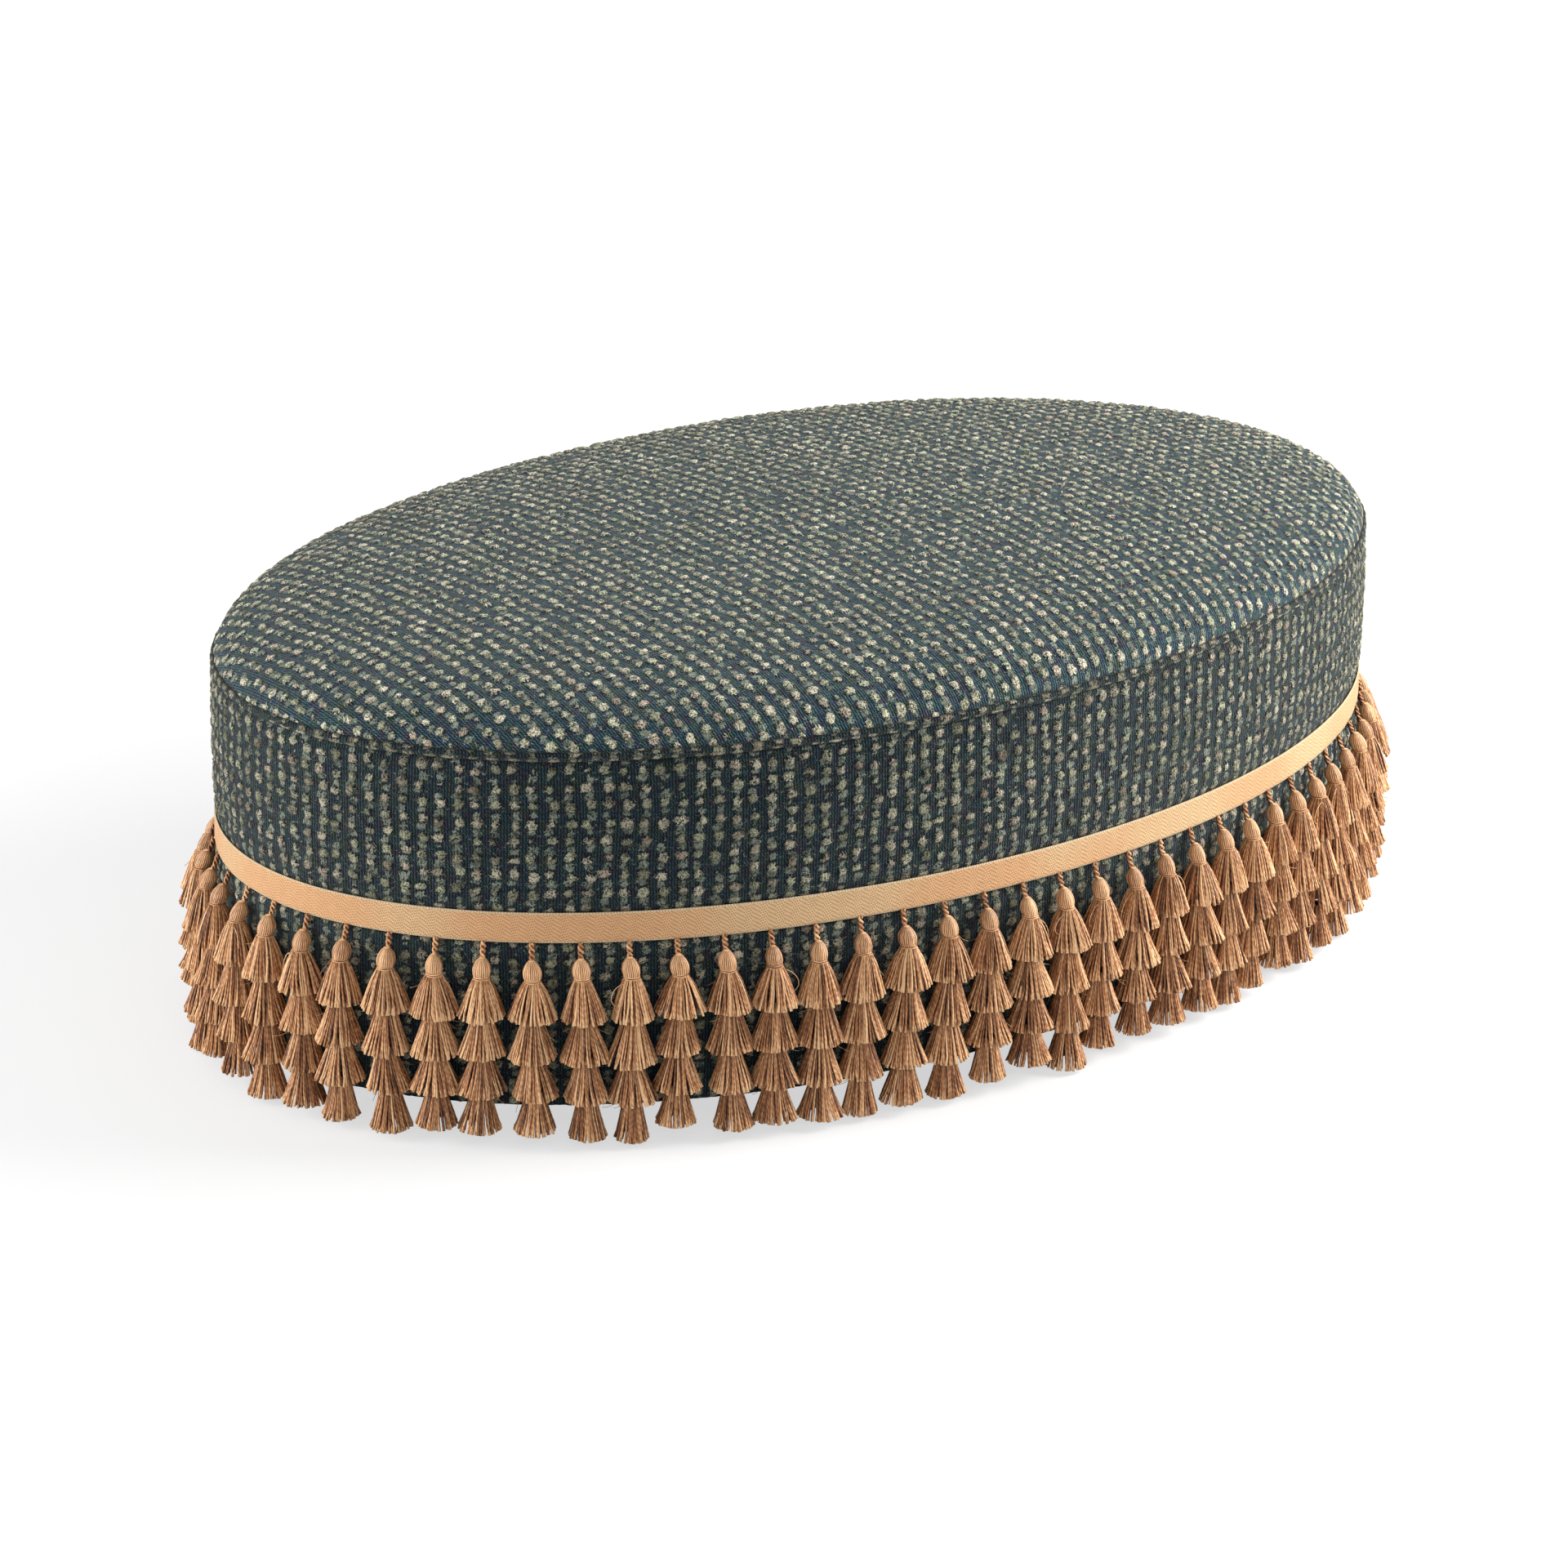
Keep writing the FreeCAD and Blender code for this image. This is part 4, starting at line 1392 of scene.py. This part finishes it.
        v, u = np.meshgrid(way * self.head_height, turn / TURN * self.head_yarns, indexing="ij")
        tone = float(np.clip(self.head_tone + 0.08 * rng.normal(), 0.65, 1.05))
        self.lathe(surface, point, out, middle(way), fat, ridge, columns, np.stack([u, v], -1), tone)
        turns = np.linspace(0, self.wraps, self.wraps * 3 + 1)
        wrap = self.head_radius * shape[-1] * 0.98 + self.wrap_depth * np.abs(np.sin(turns * math.pi))
        down = 0.93 + turns * self.wrap_pitch / self.head_height
        turn = np.arange(20) * TURN / 20
        u, v = np.meshgrid(turns + 0.5, turn * self.neck_radius, indexing="ij")
        self.lathe(surface, point, out, middle(down), wrap, np.zeros((len(turns), 20)), 20,
                   np.stack([u, v], -1), tone - 0.10)

    def loop(self, surface: Surface, rng: np.random.Generator, point: np.ndarray, out: np.ndarray,
             lean: float, length: float) -> None:
        """The two-ply cord above the head: two strands wound round one slanting line.

        Args:
            surface: Where it goes.
            rng: Source of the tassel's own scatter.
            point: The tassel's place on the oval.
            out: The outward direction there.
            lean: How far the tassel hangs to the side.
            length: Length of the cord.
        """
        way = np.linspace(0, 1, self.loop_points)
        phase = rng.uniform(0, TURN)
        wind = phase + way[None] * TURN * self.loop_turns + np.array([0.0, math.pi])[:, None]
        middle_out = self.loop_out + (self.head_out - 2.2 - self.loop_out) * way ** 1.5
        gap = self.ply_radius * (0.95 + 0.3 * np.sin(way * math.pi))
        paths = np.stack([
            middle_out[None] + gap[None] * np.cos(wind),
            lean * way[None] * 0.3 + gap[None] * np.sin(wind) * 1.15,
            np.broadcast_to((-0.4 + way * (length + 2.0))[None], wind.shape)], axis=-1)
        self.add_tubes(surface, paths, np.full((2, self.loop_points), self.ply_radius), 6, point, out,
                       np.array(self.loop_tones) + 0.08 * rng.normal(), way * 0)

    def strays(self, surface: Surface, rng: np.random.Generator, point: np.ndarray, out: np.ndarray,
               levels: Sequence[float]) -> None:
        """Loose single fibres and, on some tassels, a pale thread looped out at the neck.

        Args:
            surface: Where they go.
            rng: Source of the tassel's own scatter.
            point: The tassel's place on the oval.
            out: The outward direction there.
            levels: Depth of each tier's top.
        """
        way = np.linspace(0, 1, 7)
        count = self.stray_count
        angle = rng.uniform(-1.9, 1.9, count)
        begin = rng.choice(np.asarray(levels), count) + rng.uniform(-6, 4, count)
        size = rng.uniform(10, 26, count)
        bend = rng.uniform(-0.8, 0.8, count)
        radius = 8.0 + size[:, None] * 0.75 * way[None] ** 1.3
        theta = angle[:, None] + bend[:, None] * way[None]
        local = np.stack([self.skirt_out + radius * np.cos(theta) * 0.8, radius * np.sin(theta),
                          begin[:, None] + size[:, None] * (0.9 * way[None] - 0.35 * way[None] ** 2)],
                         axis=-1)
        local[..., 0] = np.maximum(local[..., 0], self.back_clear)
        local[..., 2] = np.minimum(local[..., 2], self.tape_low - self.floor_clear)
        self.add_tubes(surface, local, np.full((count, 7), self.stray_radius), 3, point, out,
                       rng.uniform(0.4, 0.9, count), way * 0)
        if rng.uniform() < self.thread_share:
            side = rng.choice([-1.0, 1.0])
            height, width = rng.uniform(18, 34), rng.uniform(7, 15)
            arc = np.linspace(0, math.pi, 9)
            path = np.stack([np.full(9, self.skirt_out + 3.0) + rng.uniform(-2, 3),
                             side * (6.5 + width * np.sin(arc) * (1 - 0.25 * np.cos(arc))),
                             levels[0] - 1.0 + height * (1 - np.cos(arc)) / 2], axis=-1)[None]
            self.add_tubes(surface, path, np.full((1, 9), self.thread_radius), 4, point, out,
                           np.array([rng.uniform(0.75, 1.0)]), np.zeros(9))

    def tassel(self, surface: Surface, seed: int, point: np.ndarray, out: np.ndarray) -> None:
        """One tassel with its own scatter of slant, length, flare and loose yarns.

        Args:
            surface: Where it goes.
            seed: Seed of its scatter.
            point: Its place on the oval.
            out: The outward direction there.
        """
        rng = np.random.default_rng(seed)
        lean = rng.normal(0, 0.9)
        loop_length = self.loop_length + rng.uniform(-1.6, 1.6)
        self.loop(surface, rng, point, out, lean, loop_length)
        self.head(surface, rng, point, out, lean, loop_length)
        stretch = rng.uniform(0.965, 1.03)
        start = np.array([self.skirt_out, lean, loop_length + self.head_height + self.wrap_pitch])
        slant = np.array([0.0, rng.normal(0, 0.022)])
        levels = []
        for tier, (hem, drop) in enumerate(zip(self.hems, self.drops)):
            drop = drop * stretch * rng.uniform(0.95, 1.05) + (self.overlap if tier else 0.0)
            drop = min(drop, self.longest - start[2])
            hem = hem * rng.uniform(0.93, 1.06) if tier < 3 else hem * rng.uniform(0.80, 1.14)
            heading = slant + np.array([0.0, rng.normal(0, 0.028)])
            # Painted shade: each lower tier a little darker.
            shade = -self.tier_shade * tier + rng.normal(0, 0.035)
            for count, inner in ((self.outer_yarns, False), (self.inner_yarns, True)):
                paths, angle = self.yarns(rng, tier, start, heading, drop, hem, count, inner)
                radii = self.yarn_radius * rng.uniform(0.85, 1.15, count)[:, None] * self.yarn_swell
                tone = rng.normal(self.yarn_tone + shade, self.tone_spread, count)
                # Painted shade: the inner yarns, inside the tassel, darker.
                tone = np.clip(tone - (self.inner_shade if inner else 0.0), 0.0, 1.0)
                self.add_tubes(surface, paths, radii, 3 if inner else 4, point, out, tone,
                               self.yarn_steps ** 6, angle)
            levels.append(start[2] + 4.0)
            start = start + np.array([0.0, heading[1] * drop, drop - self.overlap])
        self.strays(surface, rng, point, out, levels)

    def dress(self, material: bpy.types.Material) -> None:
        """Make every group, dress it and let it ride on its own swinging body.

        Args:
            material: Material of the yarns.
        """
        seed = int(Seed.FIRST_TASSEL)
        for number, arcs in enumerate(self.stations(), 1):
            surface = Surface()
            for point, out in zip(*self.oval.at(arcs)):
                self.tassel(surface, seed, point, out)
                seed += 1
            put_on(surface.build(f"tassel_group_{number:02d}"), material,
                   f"fringe_{number:02d}", f"tassels_{number:02d}")


@dataclass
class Underside:
    """The black dust cover stapled under the frame."""

    half_length: float
    half_width: float
    low: float
    high: float
    sag: float = 1.2
    pull: float = 0.35
    staples: int = 44
    rows: int = 81
    columns: int = 121

    def build(self) -> bpy.types.Object:
        """A thin closed sheet on a grid bent to a disc, with faint pulls at its staples.

        Returns:
            The sheet.
        """
        p, q = disc(self.rows, self.columns)
        radial = np.hypot(p, q)
        ripple = self.pull * np.sin(np.arctan2(q, p) * self.staples)
        ripple = ripple * smooth_step(0.80, 1.0, radial) * smooth_step(1.0, 0.97, radial)
        dip = -self.sag * (1 - radial ** 2) + ripple
        quads = grid_corners(self.rows, self.columns)
        surface = Surface()
        for level, corners in ((self.high, quads), (self.low, quads[:, ::-1])):
            place = np.stack([p * self.half_length, q * self.half_width, level + dip], axis=-1)
            surface.add(place, [corners], [None])
        edge = rim(self.rows, self.columns)
        after, down = np.roll(edge, -1), self.rows * self.columns
        surface.join(np.stack([edge, after, after + down, edge + down], axis=1))
        return surface.build("dust_cloth", outward=True)

    def dress(self, material: bpy.types.Material) -> None:
        """Make the sheet and put it under the frame.

        Args:
            material: Its material.
        """
        piece = self.build()
        put_on(piece, material, "stool", "dust_cover")
        width, length = 2 * self.half_width * MM, 2 * self.half_length * MM
        math.pi / 4 * width * length


@dataclass(frozen=True)
class Studio:
    """Pale floor, soft lights and the camera at the photograph's angle."""

    azimuth: float = -38.87
    elevation: float = 20.24
    distance: float = 5.1415
    aim_height: float = 0.223
    roll: float = 0.72
    focal_px: float = 6745.7
    centre_px: tuple[float, float] = (990.5, 864.9)
    frame_px: float = 1920.0
    sensor_mm: float = 36.0
    glow_share: float = 0.50
    glow_strength: float = 1.26
    white_from: tuple[float, float] = (0.80, 1.70)
    floor_colour: Colour = (0.80, 0.80, 0.81)
    floor_reach: float = 14000.0
    sky_colour: Colour = (0.92, 0.96, 1.0)
    sky_strength: float = 0.36

    def camera(self) -> None:
        """Set the camera from its bearing, height angle, roll and distance."""
        turn, rise = math.radians(self.azimuth), math.radians(self.elevation)
        back = Vector((math.sin(turn) * math.cos(rise), -math.cos(turn) * math.cos(rise), math.sin(rise)))
        right = Vector((math.cos(turn), math.sin(turn), 0.0))
        up = back.cross(right)
        lean = math.radians(self.roll)
        tilted_right = right * math.cos(lean) + up * math.sin(lean)
        tilted_up = up * math.cos(lean) - right * math.sin(lean)
        data = bpy.data.cameras.new("camera")
        camera = bpy.data.objects.new("camera", data)
        bpy.context.scene.collection.objects.link(camera)
        camera.matrix_world = Matrix.Translation(Vector((0, 0, self.aim_height)) + back * self.distance) \
            @ Matrix((tilted_right, tilted_up, back)).transposed().to_4x4()
        data.sensor_width = self.sensor_mm
        data.lens = self.focal_px * self.sensor_mm / self.frame_px
        data.shift_x = (self.frame_px / 2 - self.centre_px[0]) / self.frame_px
        data.shift_y = (self.centre_px[1] - self.frame_px / 2) / self.frame_px
        data.clip_start, data.clip_end = 0.1, 100.0
        bpy.context.scene.camera = camera

    def lamp(self, name: str, place: Sequence[float], size: float, watts: float, colour: Colour) -> None:
        """Add a square soft light that faces the stool.

        Args:
            name: Its name.
            place: Where it hangs, in metres.
            size: Length of its side in metres.
            watts: Its power.
            colour: Its colour.
        """
        data = bpy.data.lights.new(name, "AREA")
        data.shape, data.size, data.energy, data.color = "SQUARE", size, watts, colour
        lamp = bpy.data.objects.new(name, data)
        lamp.location = place
        aim = Vector((0, 0, 0.2)) - Vector(place)
        lamp.rotation_euler = aim.to_track_quat("-Z", "Y").to_euler()
        bpy.context.scene.collection.objects.link(lamp)

    def lights(self) -> None:
        """A large soft key from the upper right, a weak fill, a rim light and an even sky."""
        self.lamp("key", (3.0, -1.7, 1.9), 2.1, 215.0, (1.0, 0.985, 0.95))
        self.lamp("fill", (-2.6, -3.2, 1.9), 2.6, 20.0, (1.0, 0.985, 0.97))
        self.lamp("rim", (-2.8, 1.2, 1.0), 1.6, 68.0, (1.0, 0.99, 0.96))
        g = Graph(bpy.data.worlds.new("studio"))
        seen, mirrored = (g.add("ShaderNodeLightPath", output=f"Is {ray} Ray")
                          for ray in ("Camera", "Glossy"))
        sky = g.add("ShaderNodeBackground", sockets={"Color": self.sky_colour, "Strength": self.sky_strength})
        backdrop = g.add("ShaderNodeBackground", sockets={"Color": WHITE})
        blend = g.add("ShaderNodeMixShader", sockets={0: seen.larger(mirrored), 1: sky, 2: backdrop})
        g.add("ShaderNodeOutputWorld", sockets={"Surface": blend})
        bpy.context.scene.world = g.owner
        bpy.context.scene.view_settings.view_transform = "Standard"

    def floor(self) -> None:
        """A pale floor that the camera sees as white, with the stool's soft shadow on it."""
        surface = Surface()
        corners = np.array([[-1, -1, 0], [1, -1, 0], [1, 1, 0], [-1, 1, 0]]) * self.floor_reach
        surface.add(corners, [np.array([[0, 1, 2, 3]])], [None])
        floor = surface.build("floor")
        g = Graph(bpy.data.materials.new("floor"))
        lit = g.add("ShaderNodeBsdfDiffuse", sockets={"Color": self.floor_colour})
        glow = g.add("ShaderNodeEmission", sockets={"Color": WHITE, "Strength": self.glow_strength})
        seen = g.add("ShaderNodeLightPath", output="Is Camera Ray")
        away = g.add("ShaderNodeVectorMath", {"operation": "LENGTH"}, {0: g.place()}, output="Value")
        share = away.rise(*self.white_from) * (1 - self.glow_share) + self.glow_share
        surface_shader = g.add("ShaderNodeMixShader", sockets={0: seen * share, 1: lit, 2: glow})
        g.add("ShaderNodeOutputMaterial", sockets={"Surface": surface_shader})
        floor.data.materials.append(g.owner)


def corners_mm(node: str) -> tuple[np.ndarray, np.ndarray]:
    """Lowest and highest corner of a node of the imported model, in millimetres."""
    low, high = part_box(node)
    return np.array(low) / MM, np.array(high) / MM


def dress_frame(frame: dict[str, Any], finishes: dict[str, bpy.types.Material]) -> None:
    """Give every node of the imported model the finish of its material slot.

    Args:
        frame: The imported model's record and nodes.
        finishes: Materials by the names of the slots.
    """
    slots = {part["node"]: part["material_slot"] for part in frame["record"]["subparts"]}
    for node, piece in frame["nodes"].items():
        piece.data.materials.clear()
        piece.data.materials.append(finishes[slots[node]])
    log.info("%d nodes dressed", len(frame["nodes"]))


def main() -> None:
    """Load the frame, then make and dress the cover, tape, fringe, underside and studio."""
    logging.basicConfig(level=logging.INFO, format="%(name)s: %(message)s")
    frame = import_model()
    band_low, band_high = corners_mm("cover_boxing")
    tape_low, tape_high = corners_mm("header_tape")
    welt_low, welt_high = corners_mm("seam_welt")
    top_high = corners_mm("cover_top")[1]
    dust_low, dust_high = corners_mm("dust_cover")
    finishes = {plain.name: plain.material() for plain in PLAIN_FINISHES}
    finishes["tweed"] = TweedFinish().material()
    finishes["jute_yarn"] = JuteFinish().material()
    finishes["jute_tape"] = TapeFinish(round(float(tape_high[2] - tape_low[2]), 2)).material()
    dress_frame(frame, finishes)
    oval = Oval(float(band_high[0]), float(band_high[1]))
    Cover(oval, band_low[2], welt_low[2], welt_high[2], top_high[2], tape_low[2], tape_high[2]).dress(
        finishes["tweed"])
    HeaderTape(oval, tape_low[2], tape_high[2]).dress(finishes["jute_tape"])
    Fringe(oval, tape_low[2]).dress(finishes["jute_yarn"])
    Underside(dust_high[0], dust_high[1], dust_low[2], dust_high[2]).dress(finishes["dust_cloth"])
    studio = Studio()
    studio.floor()
    studio.lights()
    studio.camera()


if __name__ == "__main__":
    main()
